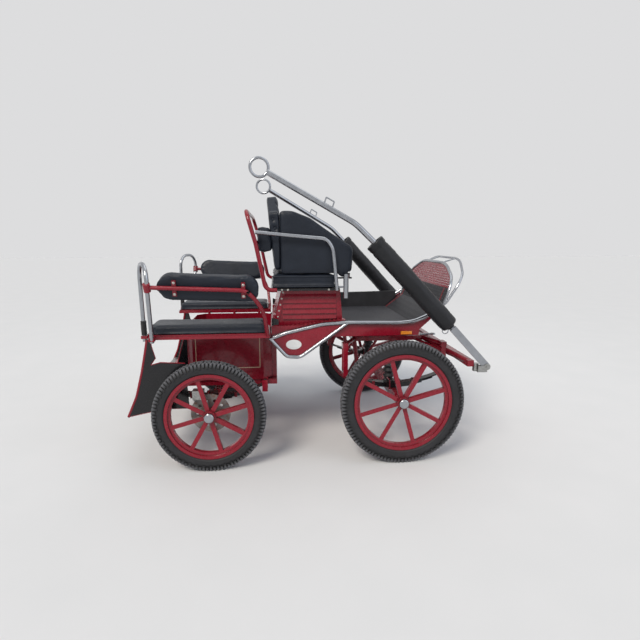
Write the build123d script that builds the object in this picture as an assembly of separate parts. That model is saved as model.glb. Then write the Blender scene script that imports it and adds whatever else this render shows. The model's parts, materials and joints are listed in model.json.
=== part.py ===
from build123d import *
import math
import os

# Four-wheeled pleasure carriage with shafts, standing parked with the shafts folded up.
# Millimetres. X is forward, Y is to the carriage's left, Z is up, ground at Z = 0.
# Every X below is measured from the rear axle; MID_X moves the whole carriage to its centre.

# Wheels and axles
WHEELBASE = 1080.0
HALF_TRACK = 640.0
FRONT_TYRE_R = 355.0
REAR_TYRE_R = 310.0
FRONT_RIM_SEAT_R = 266.7
REAR_RIM_SEAT_R = 228.6
TYRE_W = 76.0
RIM_W = 58.0
RIM_FLANGE_H = 14.0
RIM_WALL = 4.0
RIM_DEPTH = 19.0
SPOKES = 8
SPOKE_PHASE = 15.5
SPOKE_W = 24.0
SPOKE_DEPTH = 22.0
SPOKE_T = 4.0
HUB_R = 34.0
HUB_IN = 595.0
HUB_OUT = 672.0
CAP_R = 28.0
CAP_L = 16.0
SPINDLE_R = 15.0
RUN_FIT = 0.05
AXLE_SIDE = 50.0
AXLE_HALF = HUB_IN - 35.0
DISC_R = 110.0
DISC_T = 5.0
DISC_GAP = 5.5

# Clearances
SEAT_GAP = 0.3

# Chassis
RAIL_Y = 300.0
RAIL_W = 40.0
RAIL_TOP = 727.0
RAIL_H = 40.0
LOW_RAIL_Y = 265.0
LOW_RAIL_Z = 408.0
LOW_RAIL_REAR = -345.0
LOW_RAIL_FRONT = 315.0
RAIL_FRONT = WHEELBASE + 135.0
SPRING_Y = 420.0
SPRING_W = 50.0
SPRING_HALF = 300.0
SPRING_RISE = 62.0
LEAF_T = 7.0

# Foot well between the benches
WELL_X0 = -190.0
WELL_X1 = 341.7
WELL_HALF = 300.0
WELL_BOTTOM = 410.0
WELL_CHAMFER = 52.0
WELL_WALL = 4.0

# Benches
BENCH_X0 = -334.0
BENCH_X1 = 335.0
BENCH_OUT = 600.0
BENCH_IN = 335.0
BENCH_TUBE = 16.0
BENCH_Z = 733.0
BENCH_CORNER = ((-334.0, 552.0), (-292.0, 600.0))
BENCH_BOARD = 8.0
BENCH_CUSHION_TOP = 806.0
BACK_RAIL = ((-262.0, 737.0, 1030.0), (215.0, 737.0, 1011.0), (304.0, 700.0, 935.0), (324.0, 592.0, 744.0))
BACK_RAIL_R = 11.0
BACK_X0 = -226.0
BACK_X1 = 290.0
BACK_Z = 1020.0
BACK_H = 152.0
BACK_T = 54.0
BACK_LEAN = 15.0
HOOP_R = 11.0

# Front tray
TRAY_HALF = 450.0
TRAY_X0 = 345.0
TRAY_X1 = RAIL_FRONT + 10.0
TRAY_LOW = 702.0
TRAY_SKIRT_TOP = 772.0
FLOOR_TOP = 750.0
SHEET = 3.0
SIDE_TUBE_R = 11.0
LINING_T = 6.0
LINING_X0 = TRAY_X0 + 445.0
LINING_HALF = TRAY_HALF - 14.0
SIDE_BOARD_T = 20.0
DASH_X = TRAY_X1 + 125.0
DASH_Z = 850.0
DASH_LEAN = 21.0
DASH_HALF = TRAY_HALF
DASH_RISE = 288.0
DASH_TUBE_R = 9.0
DASH_LINING_S = 135.0
REIN_LEAN = 33.0
REIN_RISE = 352.0
REIN_R = 8.0

# Driver's seat
TREAD_W = 57.0
TREAD_FIT = 2.0
BOX_HALF = TRAY_HALF - SHEET - TREAD_FIT - TREAD_W - 8.0
BOX_TOP = 973.0
BOARD_T = 12.0
BOARD_HALF = 437.7
SEAT_X0 = 346.0
SEAT_X1 = 729.0
SEAT_CUSHION_T = 88.0
SEAT_ARM_Y = BOARD_HALF + 12.3
SEAT_TUBE_R = 12.0
ARM_R = 11.0
BACKREST_T = 58.0
BACKREST_Z0 = 1085.0
BACKREST_END_Z = 1418.0
BACKREST_MID_Z = 1585.0
BACKREST_X = 400.0
BACKREST_LEAN = 6.0
WING_Y0 = 362.0
WING_T = 36.0
WING_BEVEL = 21.0
WING_Z0 = 1017.0
WING_TOP = 1440.0
WHIP_R = 15.0
WHIP_BORE_R = 12.0
WHIP_X = 778.0

# Fore-carriage
TABLE_R = 210.0
TABLE_IN_R = 165.0
TABLE_T = 12.0
KING_R = 18.0
FORE_TOP = 660.0
FORE_TUBE = 30.0
FORE_HALF = 245.0
FORE_X0 = WHEELBASE - 230.0
FORE_X1 = WHEELBASE + 240.0
BAR_X = WHEELBASE + 398.0
BAR_Z = 566.0
BAR_HALF = 625.0

# Shafts: points of the centre line, from the pivot to the tip ring, for the left one
PIVOT = (BAR_X + 88.0, BAR_HALF + 15.0, 550.0)
SHAFT_R = 16.0
RING_R = 50.0
RING_TUBE_R = 8.0
SLEEVE_R = 52.0
SHAFT_BAR_W = 40.0
SHAFT_BAR_T = 12.0

# Edge of the rear side plates: (x, z) from the bench down
PLATE_T = 4.0
PLATE_Y = 568.0
EDGE_R = 7.0
EDGE = ((-331.0, BENCH_Z - 3), (-342.0, 668.0), (-368.0, 545.0), (-404.0, 408.0), (-456.0, 290.0))
EDGE_FOOT = math.atan2(EDGE[-2][1] - EDGE[-1][1], EDGE[-2][0] - EDGE[-1][0])

# The whole carriage runs from the foot of the rear side plates to the front brackets
REAR_END = EDGE[-1][0] - EDGE_R * math.sin(EDGE_FOOT)
FRONT_END = PIVOT[0] + SHAFT_BAR_W / 2
MID_X = (REAR_END + FRONT_END) / 2
SIDES = {"right": -1, "left": 1}

os.makedirs("parts", exist_ok=True)


def save(name, shape):
    moved = Pos(-MID_X, 0, 0) * shape
    moved.label = name
    export_step(moved, f"parts/{name}.step")


def block(x0, x1, y0, y1, z0, z1):
    return Pos((x0 + x1) / 2, (y0 + y1) / 2, (z0 + z1) / 2) * Box(x1 - x0, abs(y1 - y0), z1 - z0)


def rod_y(x, z, y0, y1, r):
    return Pos(x, (y0 + y1) / 2, z) * Rot(90, 0, 0) * Cylinder(r, abs(y1 - y0))


def rod_z(x, y, z0, z1, r):
    return Pos(x, y, (z0 + z1) / 2) * Cylinder(r, z1 - z0)


def tube(points, r, radii=None):
    # A round bar along straight runs, with its corners bent to the given radii.
    if radii is None:
        path = Polyline(*points)
    else:
        path = FilletPolyline(*points, radius=radii)
    start = Plane(origin=path @ 0, z_dir=path % 0)
    return sweep(start * Circle(r), path=path)


def slab(outline, y0, y1):
    # A flat plate that stands in the XZ plane, from y0 to y1.
    face = make_face(Polyline(*[(x, 0, z) for x, z in outline], close=True))
    moved = Pos(0, y0, 0) * face
    return extrude(moved, amount=y1 - y0, dir=(0, 1, 0))


def mirrored(right):
    return right, mirror(right, about=Plane.XZ)


def both(left):
    return Compound(children=[left, mirror(left, about=Plane.XZ)])


# Wheels: steel rim, folded steel spokes and a turned hub, all welded together
def ring_profile(points):
    # Points are (radius, width) pairs; the wheel axis is Y.
    face = make_face(Polyline(*[(r, w, 0) for r, w in points], close=True))
    return revolve(face, axis=Axis.Y)


def wheel_body(seat_r):
    half = RIM_W / 2
    lip = seat_r + RIM_FLANGE_H
    low = seat_r - RIM_DEPTH
    well = half * 0.45
    outer = [(lip, half), (lip, half - RIM_WALL), (seat_r, half - RIM_WALL), (seat_r, well)]
    outer += [(low + RIM_WALL, well - RIM_WALL)]
    rim_points = outer + [(r, -w) for r, w in reversed(outer)]
    inner = [(seat_r - RIM_WALL, -half), (seat_r - RIM_WALL, -well - RIM_WALL), (low, -well)]
    rim_points += inner + [(r, -w) for r, w in reversed(inner)]
    rim = ring_profile(rim_points)
    hub = Pos(0, (HUB_OUT + HUB_IN) / 2 - HALF_TRACK, 0) * Rot(90, 0, 0) * Cylinder(HUB_R, HUB_OUT - HUB_IN)
    spoke_l = low + RIM_WALL / 2 - HUB_R * 0.8
    face_y = -SPOKE_DEPTH / 2
    plate = Box(spoke_l, SPOKE_T, SPOKE_W)
    plate = Pos(HUB_R * 0.8 + spoke_l / 2, -face_y, 0) * plate
    web = Box(spoke_l, SPOKE_DEPTH, SPOKE_T)
    web = Pos(HUB_R * 0.8 + spoke_l / 2, 0, SPOKE_W / 2 - SPOKE_T / 2) * web
    spoke = plate + web
    body = rim + hub
    for n in range(SPOKES):
        body += Rot(0, -(SPOKE_PHASE + 360 / SPOKES * n), 0) * spoke
    bore = Rot(90, 0, 0) * Cylinder(SPINDLE_R + RUN_FIT, 4 * HUB_R + RIM_W)
    return body - bore


def tyre_body(seat_r, tip_r):
    half = RIM_W / 2 - RIM_WALL - SEAT_GAP
    bead = seat_r + SEAT_GAP
    lip = seat_r + RIM_FLANGE_H + SEAT_GAP
    wide = TYRE_W / 2
    shoulder = tip_r - 16
    side = [(bead, half), (lip, half), (lip + 8, wide - 4), (shoulder - 18, wide), (shoulder, wide - 3)]
    side += [(tip_r - 4, wide - 14), (tip_r, 10)]
    return ring_profile(side + [(r, -w) for r, w in reversed(side)])


def at_wheel(shape, x, r, side):
    # The shape is drawn for the left wheel, with +Y outward.
    moved = shape if side > 0 else mirror(shape, about=Plane.XZ)
    return Pos(x, side * HALF_TRACK, r) * moved


def cap_body():
    cap = Pos(0, HUB_OUT + CAP_L / 2 - HALF_TRACK, 0) * Rot(-90, 0, 0) * Cylinder(CAP_R, CAP_L)
    cap = fillet(cap.faces().sort_by(Axis.Y)[-1].edges(), CAP_L * 0.55)
    return cap


# name: (x of the axle, tyre radius, bead seat radius)
WHEELS = {
    "front": (WHEELBASE, FRONT_TYRE_R, FRONT_RIM_SEAT_R),
    "rear": (0.0, REAR_TYRE_R, REAR_RIM_SEAT_R),
}
for end, (axle_x, tyre_r, seat_r) in WHEELS.items():
    for side_name, side in SIDES.items():
        save(f"{end}_wheel_{side_name}", at_wheel(wheel_body(seat_r), axle_x, tyre_r, side))
        save(f"{end}_tyre_{side_name}", at_wheel(tyre_body(seat_r, tyre_r), axle_x, tyre_r, side))
        save(f"{end}_hub_cap_{side_name}", at_wheel(cap_body(), axle_x, tyre_r, side))


# Axles: a square tube with a turned spindle at each end, and a pad for each spring
def axle(x, z, spring_y):
    h = AXLE_SIDE / 2
    beam = block(x - h, x + h, -AXLE_HALF, AXLE_HALF, z - h, z + h)
    beam += rod_y(x, z, -HUB_OUT + 4, HUB_OUT - 4, SPINDLE_R)
    for side in SIDES.values():
        beam += rod_y(x, z, side * AXLE_HALF, side * (HUB_IN - DISC_T - 3), SPINDLE_R + 6)
    return beam


save("rear_axle", axle(0.0, REAR_TYRE_R, SPRING_Y))
save("front_axle", axle(WHEELBASE, FRONT_TYRE_R, FORE_HALF))


# Leaf springs: arcs of falling length, stacked and clamped at the middle
def spring_eye_z(z):
    return z + 4 * LEAF_T + SPRING_RISE + 4


def leaf_spring(x, z, y):
    radius = (SPRING_HALF ** 2 + SPRING_RISE ** 2) / (2 * SPRING_RISE)
    spring = None
    for n in range(4):
        half_angle = math.asin(SPRING_HALF * (1 - 0.22 * n) / radius)
        r_out = radius + n * LEAF_T + LEAF_T
        r_in = radius + n * LEAF_T
        a0 = math.degrees(-half_angle)
        a1 = math.degrees(half_angle)
        outer = [(r_out * math.sin(math.radians(a)), -r_out * math.cos(math.radians(a))) for a in (a0, 0, a1)]
        inner = [(r_in * math.sin(math.radians(a)), -r_in * math.cos(math.radians(a))) for a in (a1, 0, a0)]
        arc_out = ThreePointArc(*[(px, 0, pz) for px, pz in outer])
        arc_in = ThreePointArc(*[(px, 0, pz) for px, pz in inner])
        end_a = Line(arc_out @ 1, arc_in @ 0)
        end_b = Line(arc_in @ 1, arc_out @ 0)
        leaf = extrude(make_face([arc_out, end_a, arc_in, end_b]), amount=SPRING_W, dir=(0, 1, 0))
        leaf = Pos(0, -SPRING_W / 2, 0) * leaf
        spring = leaf if spring is None else spring + leaf
    low = radius + 4 * LEAF_T
    spring = Pos(x, y, z + low) * spring
    # clamp block between the leaves and the axle
    grip = SPRING_W / 2 + 8
    spring += block(x - 45, x + 45, y - grip, y + grip, z, z + 4 * LEAF_T + 12)
    eye = SPRING_W / 2 + 1
    for end in (-1, 1):
        spring += rod_y(x + end * SPRING_HALF, spring_eye_z(z), y - eye, y + eye, 13)
    return spring


REAR_SPRING_Z = REAR_TYRE_R + AXLE_SIDE / 2
FRONT_SPRING_Z = FRONT_TYRE_R + AXLE_SIDE / 2
save("rear_springs", both(leaf_spring(0.0, REAR_SPRING_Z, SPRING_Y)))
save("front_springs", both(leaf_spring(WHEELBASE, FRONT_SPRING_Z, SPRING_Y)))


# Brake discs: drilled steel rings bolted to the inner ends of the rear hubs
def brake_disc():
    y0 = HUB_IN - DISC_T - HALF_TRACK
    disc = Pos(0, y0 + DISC_T / 2, 0) * Rot(90, 0, 0) * Cylinder(DISC_R, DISC_T)
    disc -= Pos(0, y0, 0) * Rot(90, 0, 0) * Cylinder(SPINDLE_R + 6 + 5.5 - 1.0, 4 * DISC_T)
    for n in range(10):
        hole = Pos(DISC_R * 0.66, y0, 0) * Rot(90, 0, 0) * Cylinder(9, 4 * DISC_T)
        disc -= Rot(0, 36 * n, 0) * hole
    return disc


for side_name, side in SIDES.items():
    save(f"brake_disc_{side_name}", at_wheel(brake_disc(), 0.0, REAR_TYRE_R, side))


# Calipers: a block that straddles the disc, on a plate welded to the axle
def caliper():
    disc_y0 = HUB_IN - DISC_T
    slot_y0 = disc_y0 - DISC_GAP
    slot_y1 = disc_y0 + DISC_T + DISC_GAP
    z0 = REAR_TYRE_R + 70
    z1 = REAR_TYRE_R + DISC_R + 24
    x0 = -95.0
    x1 = -35.0
    body = block(x0, x1, slot_y0 - 26, slot_y1 + 12, z0, z1)
    body -= block(x0 - 1, x1 + 1, slot_y0, slot_y1, z0 - 1, REAR_TYRE_R + DISC_R + DISC_GAP)
    body -= block(x0 - 1, x1 + 1, slot_y1, slot_y1 + 13, z0 - 1, z0 + 14)
    h = AXLE_SIDE / 2
    outline = [(x0, z0 + 20), (x1, z0 + 20), (-h, REAR_TYRE_R + h), (-h, REAR_TYRE_R - h)]
    outline.append((x0, REAR_TYRE_R + 10))
    return body + slab(outline, AXLE_HALF - 8, AXLE_HALF)


save("brake_calipers", both(caliper()))


# Chassis: tubes under the tray, low tubes under the foot well, hangers for the rear springs
def chassis():
    z0 = RAIL_TOP - RAIL_H
    frame = None
    for side in SIDES.values():
        y0 = side * RAIL_Y - RAIL_W / 2
        rail = block(WELL_X1, RAIL_FRONT, y0, y0 + RAIL_W, z0, RAIL_TOP)
        frame = rail if frame is None else frame + rail
    # x of each cross tube, and how far out it reaches
    tray_reach = TRAY_HALF - SHEET - 1
    for x, reach in ((WELL_X1, TRAY_HALF - 20), (WHEELBASE - 120, tray_reach), (RAIL_FRONT - 40, tray_reach)):
        frame += block(x, x + 30, -reach, reach, RAIL_TOP - 25, RAIL_TOP)
    for x in (WHEELBASE - 170, WHEELBASE + 80):
        frame += block(x, x + 40, -RAIL_Y, RAIL_Y, z0, RAIL_TOP)
    # posts down the front of the well to the low tubes
    for side in SIDES.values():
        y = side * (WELL_HALF - WELL_CHAMFER - 22)
        frame += block(WELL_X1, WELL_X1 + 30, y - 15, y + 15, LOW_RAIL_Z - 36, RAIL_TOP)
        y = side * LOW_RAIL_Y
        frame += block(LOW_RAIL_REAR, LOW_RAIL_FRONT, y - 18, y + 18, LOW_RAIL_Z - 36, LOW_RAIL_Z)
    reach = LOW_RAIL_Y + 18
    frame += block(LOW_RAIL_FRONT - 30, WELL_X1 + 30, -reach, reach, LOW_RAIL_Z - 36, LOW_RAIL_Z - 4)
    frame += block(LOW_RAIL_REAR, LOW_RAIL_REAR + 30, -PLATE_Y + 4, PLATE_Y - 4, LOW_RAIL_Z - 30, LOW_RAIL_Z)
    eye_z = spring_eye_z(REAR_SPRING_Z)
    for side in SIDES.values():
        for x in (-SPRING_HALF, SPRING_HALF):
            inner = side * LOW_RAIL_Y
            outer = side * (SPRING_Y + SPRING_W / 2 + 7)
            ya, yb = sorted((inner, outer))
            frame += block(x - 15, x + 15, ya, yb, LOW_RAIL_Z - 30, LOW_RAIL_Z - 4)
            # hanger plates each side of the spring eye
            for gap in (-1, 1):
                y = side * SPRING_Y + gap * (SPRING_W / 2 + 4)
                frame += block(x - 16, x + 16, y - 3, y + 3, LOW_RAIL_Z - 30, eye_z + 18)
    return frame


save("chassis_frame", chassis())


# Foot well: folded sheet box, open at the top, its corners cut off
def well():
    c = WELL_CHAMFER

    def ring(inset):
        x0 = WELL_X0 + inset
        x1 = WELL_X1 - inset
        h = WELL_HALF - inset
        k = c - inset * 0.4
        pts = [(x0 + k, -h), (x1 - k, -h), (x1, -h + k), (x1, h - k)]
        pts += [(x1 - k, h), (x0 + k, h), (x0, h - k), (x0, -h + k)]
        return make_face(Polyline(*pts, close=True))

    outer = extrude(Pos(0, 0, WELL_BOTTOM) * ring(0), amount=BENCH_Z - WELL_BOTTOM)
    inner = extrude(Pos(0, 0, WELL_BOTTOM + WELL_WALL) * ring(WELL_WALL), amount=BENCH_Z)
    return outer - inner


save("foot_well", well())

# Rear side plates with their tube edge
LOWER_EDGE = ((-325.0, 318.0), (-218.0, 332.0), (-120.0, 332.0))
UPPER_EDGE = ((-132.0, 592.0), (-266.0, 600.0), (-318.0, 586.0), (-290.0, 624.0), (-308.0, 694.0))
UPPER_EDGE += ((-311.0, BENCH_Z - 3),)


def side_plate():
    plate = slab(list(EDGE) + list(LOWER_EDGE) + list(UPPER_EDGE), PLATE_Y - PLATE_T, PLATE_Y)
    tube_y = PLATE_Y - PLATE_T / 2 - 3
    edge = tube([(x, tube_y, z) for x, z in EDGE], EDGE_R, [300, 300, 300])
    return plate + edge


save("rear_side_plates", both(side_plate()))
STEP_Z = 352.0
step = block(-428, -316, -PLATE_Y + PLATE_T + 8, PLATE_Y - PLATE_T - 8, STEP_Z - 20, STEP_Z)
step -= block(-424, -320, -PLATE_Y + PLATE_T + 12, PLATE_Y - PLATE_T - 12, STEP_Z - 21, STEP_Z - 4)
save("rear_step", step)


# Benches: a square tube frame with one corner cut off, a board, and the bent rail of the back
HOOP_POINTS = ((-346.0, 546.0, 716.0), (-350.0, 562.0, 1143.0), (-262.0, 752.0, 1143.0))
HOOP_POINTS += ((-268.0, 738.0, 1030.0), (-291.0, 611.5, 722.0))
HOOP_BENDS = (86, 86, 90)


def bench_outline(inset):
    (xa, ya), (xb, yb) = BENCH_CORNER
    k = inset * 0.42
    pts = [(BENCH_X0 + inset, BENCH_IN + inset), (xa + inset, ya - k), (xb + k, yb - inset)]
    pts += [(BENCH_X1 - inset, BENCH_OUT - inset), (BENCH_X1 - inset, BENCH_IN + inset)]
    return make_face(Polyline(*pts, close=True))


def bench_frame(grown=0.0):
    # With grown above zero only the rail and its clamps come back, swollen by that much.
    t = BENCH_TUBE
    rail = tube(BACK_RAIL, BACK_RAIL_R + grown, [70, 300])
    for x in (-136.0, 208.0):
        (xa, _, za), (xb, _, zb) = BACK_RAIL[:2]
        z = za + (zb - za) * (x - xa) / (xb - xa)
        rail += Pos(x, 731.0, z) * Rot(-BACK_LEAN, 0, 0) * Box(20 + 2 * grown, 12 + 2 * grown, 84 + 2 * grown)
    if grown:
        return rail
    top = BENCH_Z + t
    frame = extrude(Pos(0, 0, BENCH_Z) * bench_outline(0), amount=t)
    frame -= extrude(Pos(0, 0, BENCH_Z - 1) * bench_outline(t), amount=t + 2)
    frame += extrude(Pos(0, 0, top) * bench_outline(4), amount=BENCH_BOARD)
    for x in (-120.0, 60.0, 240.0):
        frame += block(x, x + t, WELL_HALF - WELL_WALL, BENCH_OUT - t / 2, BENCH_Z, top)
    frame += rail
    collar = Pos(*HOOP_POINTS[3]) * Rot(-26, 0, 0) * Cylinder(HOOP_R + 7, 44)
    foot_b = Pos(-291, 611, BENCH_Z + 6) * Box(30, 34, 20)
    foot_a = Pos(-344, 550, BENCH_Z + 8) * Box(34, 30, 16)
    frame = frame + collar + foot_b + foot_a
    return frame - tube(HOOP_POINTS, HOOP_R + SEAT_GAP, HOOP_BENDS)


bench = bench_frame()
hoop = tube(HOOP_POINTS, HOOP_R, HOOP_BENDS)


def bench_cushion():
    z0 = BENCH_Z + BENCH_TUBE + BENCH_BOARD + SEAT_GAP
    x0 = BENCH_X0 + 4
    x1 = BENCH_X1 - 18
    y0 = BENCH_IN + 4
    pts = [(x0, y0), (x0, 540.0), (-288.0, 585.0), (x1, 585.0), (x1, y0)]
    face = make_face(FilletPolyline(*pts, radius=14, close=True))
    pad = extrude(Pos(0, 0, z0) * face, amount=BENCH_CUSHION_TOP - 4 - z0)
    return fillet(pad.faces().sort_by(Axis.Z)[-1].edges(), 13)


def bench_back():
    r = BACK_H / 2
    flat = BACK_X1 - BACK_X0 - 2 * r
    pad = Box(flat, BACK_T, BACK_H)
    for end in (-1, 1):
        pad += Pos(end * flat / 2, 0, 0) * Rot(90, 0, 0) * Cylinder(r, BACK_T)
    pad = chamfer(pad.faces().sort_by(Axis.Y)[0].edges(), 12)
    y = 731.0 - (6 + SEAT_GAP + BACK_T / 2) / math.cos(math.radians(BACK_LEAN))
    slope = math.degrees(math.atan2(BACK_RAIL[0][2] - BACK_RAIL[1][2], BACK_RAIL[1][0] - BACK_RAIL[0][0]))
    pad = Pos((BACK_X0 + BACK_X1) / 2, y, BACK_Z + 6) * Rot(-BACK_LEAN, 0, 0) * Rot(0, slope, 0) * pad
    return pad - bench_frame(SEAT_GAP)


save("bench_frames", both(bench))
save("grab_hoops", both(hoop))
for side_name, side in SIDES.items():
    cushion = bench_cushion()
    back = bench_back()
    if side < 0:
        cushion = mirror(cushion, about=Plane.XZ)
        back = mirror(back, about=Plane.XZ)
    save(f"bench_cushion_{side_name}", cushion)
    save(f"bench_back_{side_name}", back)


# Front tray: folded sheet floor with side skirts and a sloping footboard
DASH_SIN = math.sin(math.radians(DASH_LEAN))
DASH_COS = math.cos(math.radians(DASH_LEAN))
floor_low = FLOOR_TOP - 6
tray = block(TRAY_X0, TRAY_X1, -TRAY_HALF, TRAY_HALF, floor_low, FLOOR_TOP)
for x in (TRAY_X0 + 60, TRAY_X0 + 375, WHEELBASE - 20, TRAY_X1 - 50):
    tray += block(x, x + 25, -TRAY_HALF + SHEET, TRAY_HALF - SHEET, RAIL_TOP, floor_low + 1)
skirt_outline = [(TRAY_X0, TRAY_LOW), (TRAY_X1 - 6, TRAY_LOW), (TRAY_X1, FLOOR_TOP - 12), (DASH_X, DASH_Z)]
skirt_outline += [(DASH_X - 12, DASH_Z + 8), (DASH_X - 88, TRAY_SKIRT_TOP + 26)]
skirt_outline += [(TRAY_X1 - 45, TRAY_SKIRT_TOP), (TRAY_X0, TRAY_SKIRT_TOP)]
for side in SIDES.values():
    y0 = side * TRAY_HALF
    y1 = side * (TRAY_HALF - SHEET)
    tray += slab(skirt_outline, min(y0, y1), max(y0, y1))
board_line = [(TRAY_X1 - 4, floor_low), (TRAY_X1, floor_low), (DASH_X, DASH_Z - SHEET)]
board_line += [(DASH_X - SHEET, DASH_Z), (TRAY_X1 - 4, FLOOR_TOP)]
tray += slab(board_line, -TRAY_HALF, TRAY_HALF)
save("front_tray", tray)


def on_dash(s, off=0.0, lean=DASH_LEAN):
    # x, z of a point s up the dash, off behind its plane
    sin_l = math.sin(math.radians(lean))
    cos_l = math.cos(math.radians(lean))
    return DASH_X + s * sin_l - off * cos_l, DASH_Z + s * cos_l + off * sin_l


# Black lining: anti-slip mat on the floor, carried up the footboard and the foot of the dash
mat_top = FLOOR_TOP + LINING_T
d0 = on_dash(4, 2.0)
d1 = on_dash(DASH_LINING_S, 2.0)
d2 = on_dash(DASH_LINING_S, 2.0 + LINING_T)
d3 = on_dash(0, 2.0 + LINING_T)
mat_low = FLOOR_TOP + SEAT_GAP
lining_outline = [(LINING_X0, mat_low), (TRAY_X1 - 4.5, mat_low), (DASH_X - 3.6, DASH_Z + 0.6)]
lining_outline += [d0, d1, d2, d3]
lining_outline += [(TRAY_X1 - 8, mat_top), (LINING_X0, mat_top)]
lining = slab(lining_outline, -LINING_HALF, LINING_HALF)
save("floor_lining", lining)
board_low = mat_top + SEAT_GAP
board_outline = [(LINING_X0 + 70, board_low), (TRAY_X1 - 13, board_low), (DASH_X - 50, DASH_Z - 18)]
board_outline += [(DASH_X - 60, DASH_Z + 22), (LINING_X0 + 70, DASH_Z + 15)]
save("left_side_board", slab(board_outline, LINING_HALF - SIDE_BOARD_T, LINING_HALF))


# Dash: a leaning arched sheet edged with bent tube, and the rein rail in front of it
def arch_points(half, rise, s0, lean, base_x=DASH_X, base_z=DASH_Z):
    sin_l = math.sin(math.radians(lean))
    cos_l = math.cos(math.radians(lean))
    left_side = [(half * 0.5, rise), (half, rise * 0.66), (half, s0)]
    flat = [(-y, s) for y, s in reversed(left_side)] + left_side
    return [(base_x + s * sin_l, y, base_z + s * cos_l) for y, s in flat]


dash_path = arch_points(DASH_HALF, DASH_RISE, 30.0, DASH_LEAN)
rein_path = arch_points(DASH_HALF + 6, REIN_RISE, 60.0, REIN_LEAN)
dash_bend = [130, 380, 380, 130]
dash_tube = tube(dash_path, DASH_TUBE_R, dash_bend)


def dash_sheet():
    # The outline follows the tube's inner side, drawn up the slope from the hinge line.
    hinge = Plane(origin=(DASH_X, 0, DASH_Z), x_dir=(0, 1, 0), z_dir=(DASH_COS, 0, -DASH_SIN))
    k = DASH_TUBE_R + SEAT_GAP
    h = DASH_HALF - k
    low = 2.0
    side_top = DASH_RISE * 0.66 - k * 0.55
    left_side = [(h * 0.5, DASH_RISE - k), (h, side_top), (h, low)]
    pts = [(-y, s) for y, s in reversed(left_side)] + left_side
    edge = FilletPolyline(*pts, radius=[bend - k for bend in dash_bend])
    base = Line(edge @ 1, edge @ 0)
    return extrude(hinge * make_face([edge, base]), amount=1.5, both=True)


save("dash_sheet", dash_sheet())


# Side tubes: a long bent tube on each side, and the drop-shaped loop under it
SIDE_Y = TRAY_HALF + SIDE_TUBE_R + 0.4
TOP_LINE = [(337.0, 698.0), (430.0, 732.0), (640.0, 779.0), (780.0, 786.0), (TRAY_X1 - 125, 780.0)]
TOP_LINE += [(TRAY_X1 - 40, 788.0), (DASH_X - 88, DASH_Z - 30), (DASH_X + 2, DASH_Z + 26)]
TOP_BENDS = [120, 300, 300, 300, 200, 200]
LOW_LINE = [TOP_LINE[0], (432.0, 590.0), (510.0, 586.0), (790.0, 784.0)]
LOW_BENDS = [48, 60]


def side_bar(line, bends, grown=0.0):
    return tube([(x, SIDE_Y, z) for x, z in line], SIDE_TUBE_R + grown, bends)


side_tube = side_bar(TOP_LINE, TOP_BENDS) + side_bar(LOW_LINE, LOW_BENDS)
side_tube += Pos(TOP_LINE[0][0], SIDE_Y, TOP_LINE[0][1]) * Sphere(SIDE_TUBE_R)
save("side_tubes", both(side_tube))
rein = tube(rein_path, REIN_R, dash_bend)
rails = dash_tube + rein
for side in SIDES.values():
    end_a = on_dash(30.0)
    end_b = (rein_path[0][0], rein_path[0][2])
    foot = (end_a[0], side * DASH_HALF, end_a[1])
    rails += tube([foot, (end_b[0], side * (DASH_HALF + 6), end_b[1])], REIN_R)
top_a = on_dash(DASH_RISE - 2)
top_b = on_dash(REIN_RISE - 2, 0.0, REIN_LEAN)
for y in (-150.0, 150.0):
    rails += tube([(top_a[0], y, top_a[1]), (top_b[0], y, top_b[1])], 5)
save("dash_rails", rails)


def side_panel():
    # The plate fills the drop between the two tubes, its edge cut to them.
    inside = [(345.0, 698.0), (430.0, 728.0), (640.0, 774.0), (772.0, 783.0), (510.0, 592.0), (434.0, 594.0)]
    plate = slab(inside, SIDE_Y - PLATE_T / 2, SIDE_Y + PLATE_T / 2)
    cut = plate - side_bar(TOP_LINE[:5], TOP_BENDS[:3], SEAT_GAP) - side_bar(LOW_LINE, LOW_BENDS, SEAT_GAP)
    return sorted(cut.solids(), key=lambda s: s.volume)[-1]


save("side_panels", both(side_panel()))


# Ribbed treads beside the seat box
def tread():
    x0 = 388.0
    x1 = 776.0
    z0 = FLOOR_TOP + SEAT_GAP
    rise = 46.0
    y1 = TRAY_HALF - SHEET - TREAD_FIT
    y0 = y1 - TREAD_W
    outline = [(x0, z0), (x1, z0 + rise), (x1, z0), (x1 + 3, z0), (x1 + 3, z0 + rise + 4), (x0, z0 + 4)]
    top = slab(outline, y0, y1)
    ribs = 16
    pitch = (x1 - x0) / ribs
    for n in range(ribs):
        xa = x0 + pitch * (n + 0.2)
        za = z0 + 3 + rise * (xa - x0) / (x1 - x0)
        top += block(xa, xa + pitch * 0.5, y0, y1, za, za + 6)
    return top


save("step_treads", both(tread()))

# Reflectors on the skirts
lamp_x0 = TRAY_X1 - 115
reflector = block(lamp_x0, lamp_x0 + 67, TRAY_HALF + SEAT_GAP, TRAY_HALF + 7, TRAY_LOW + 7, TRAY_LOW + 26)
save("side_reflectors", both(reflector))


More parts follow.
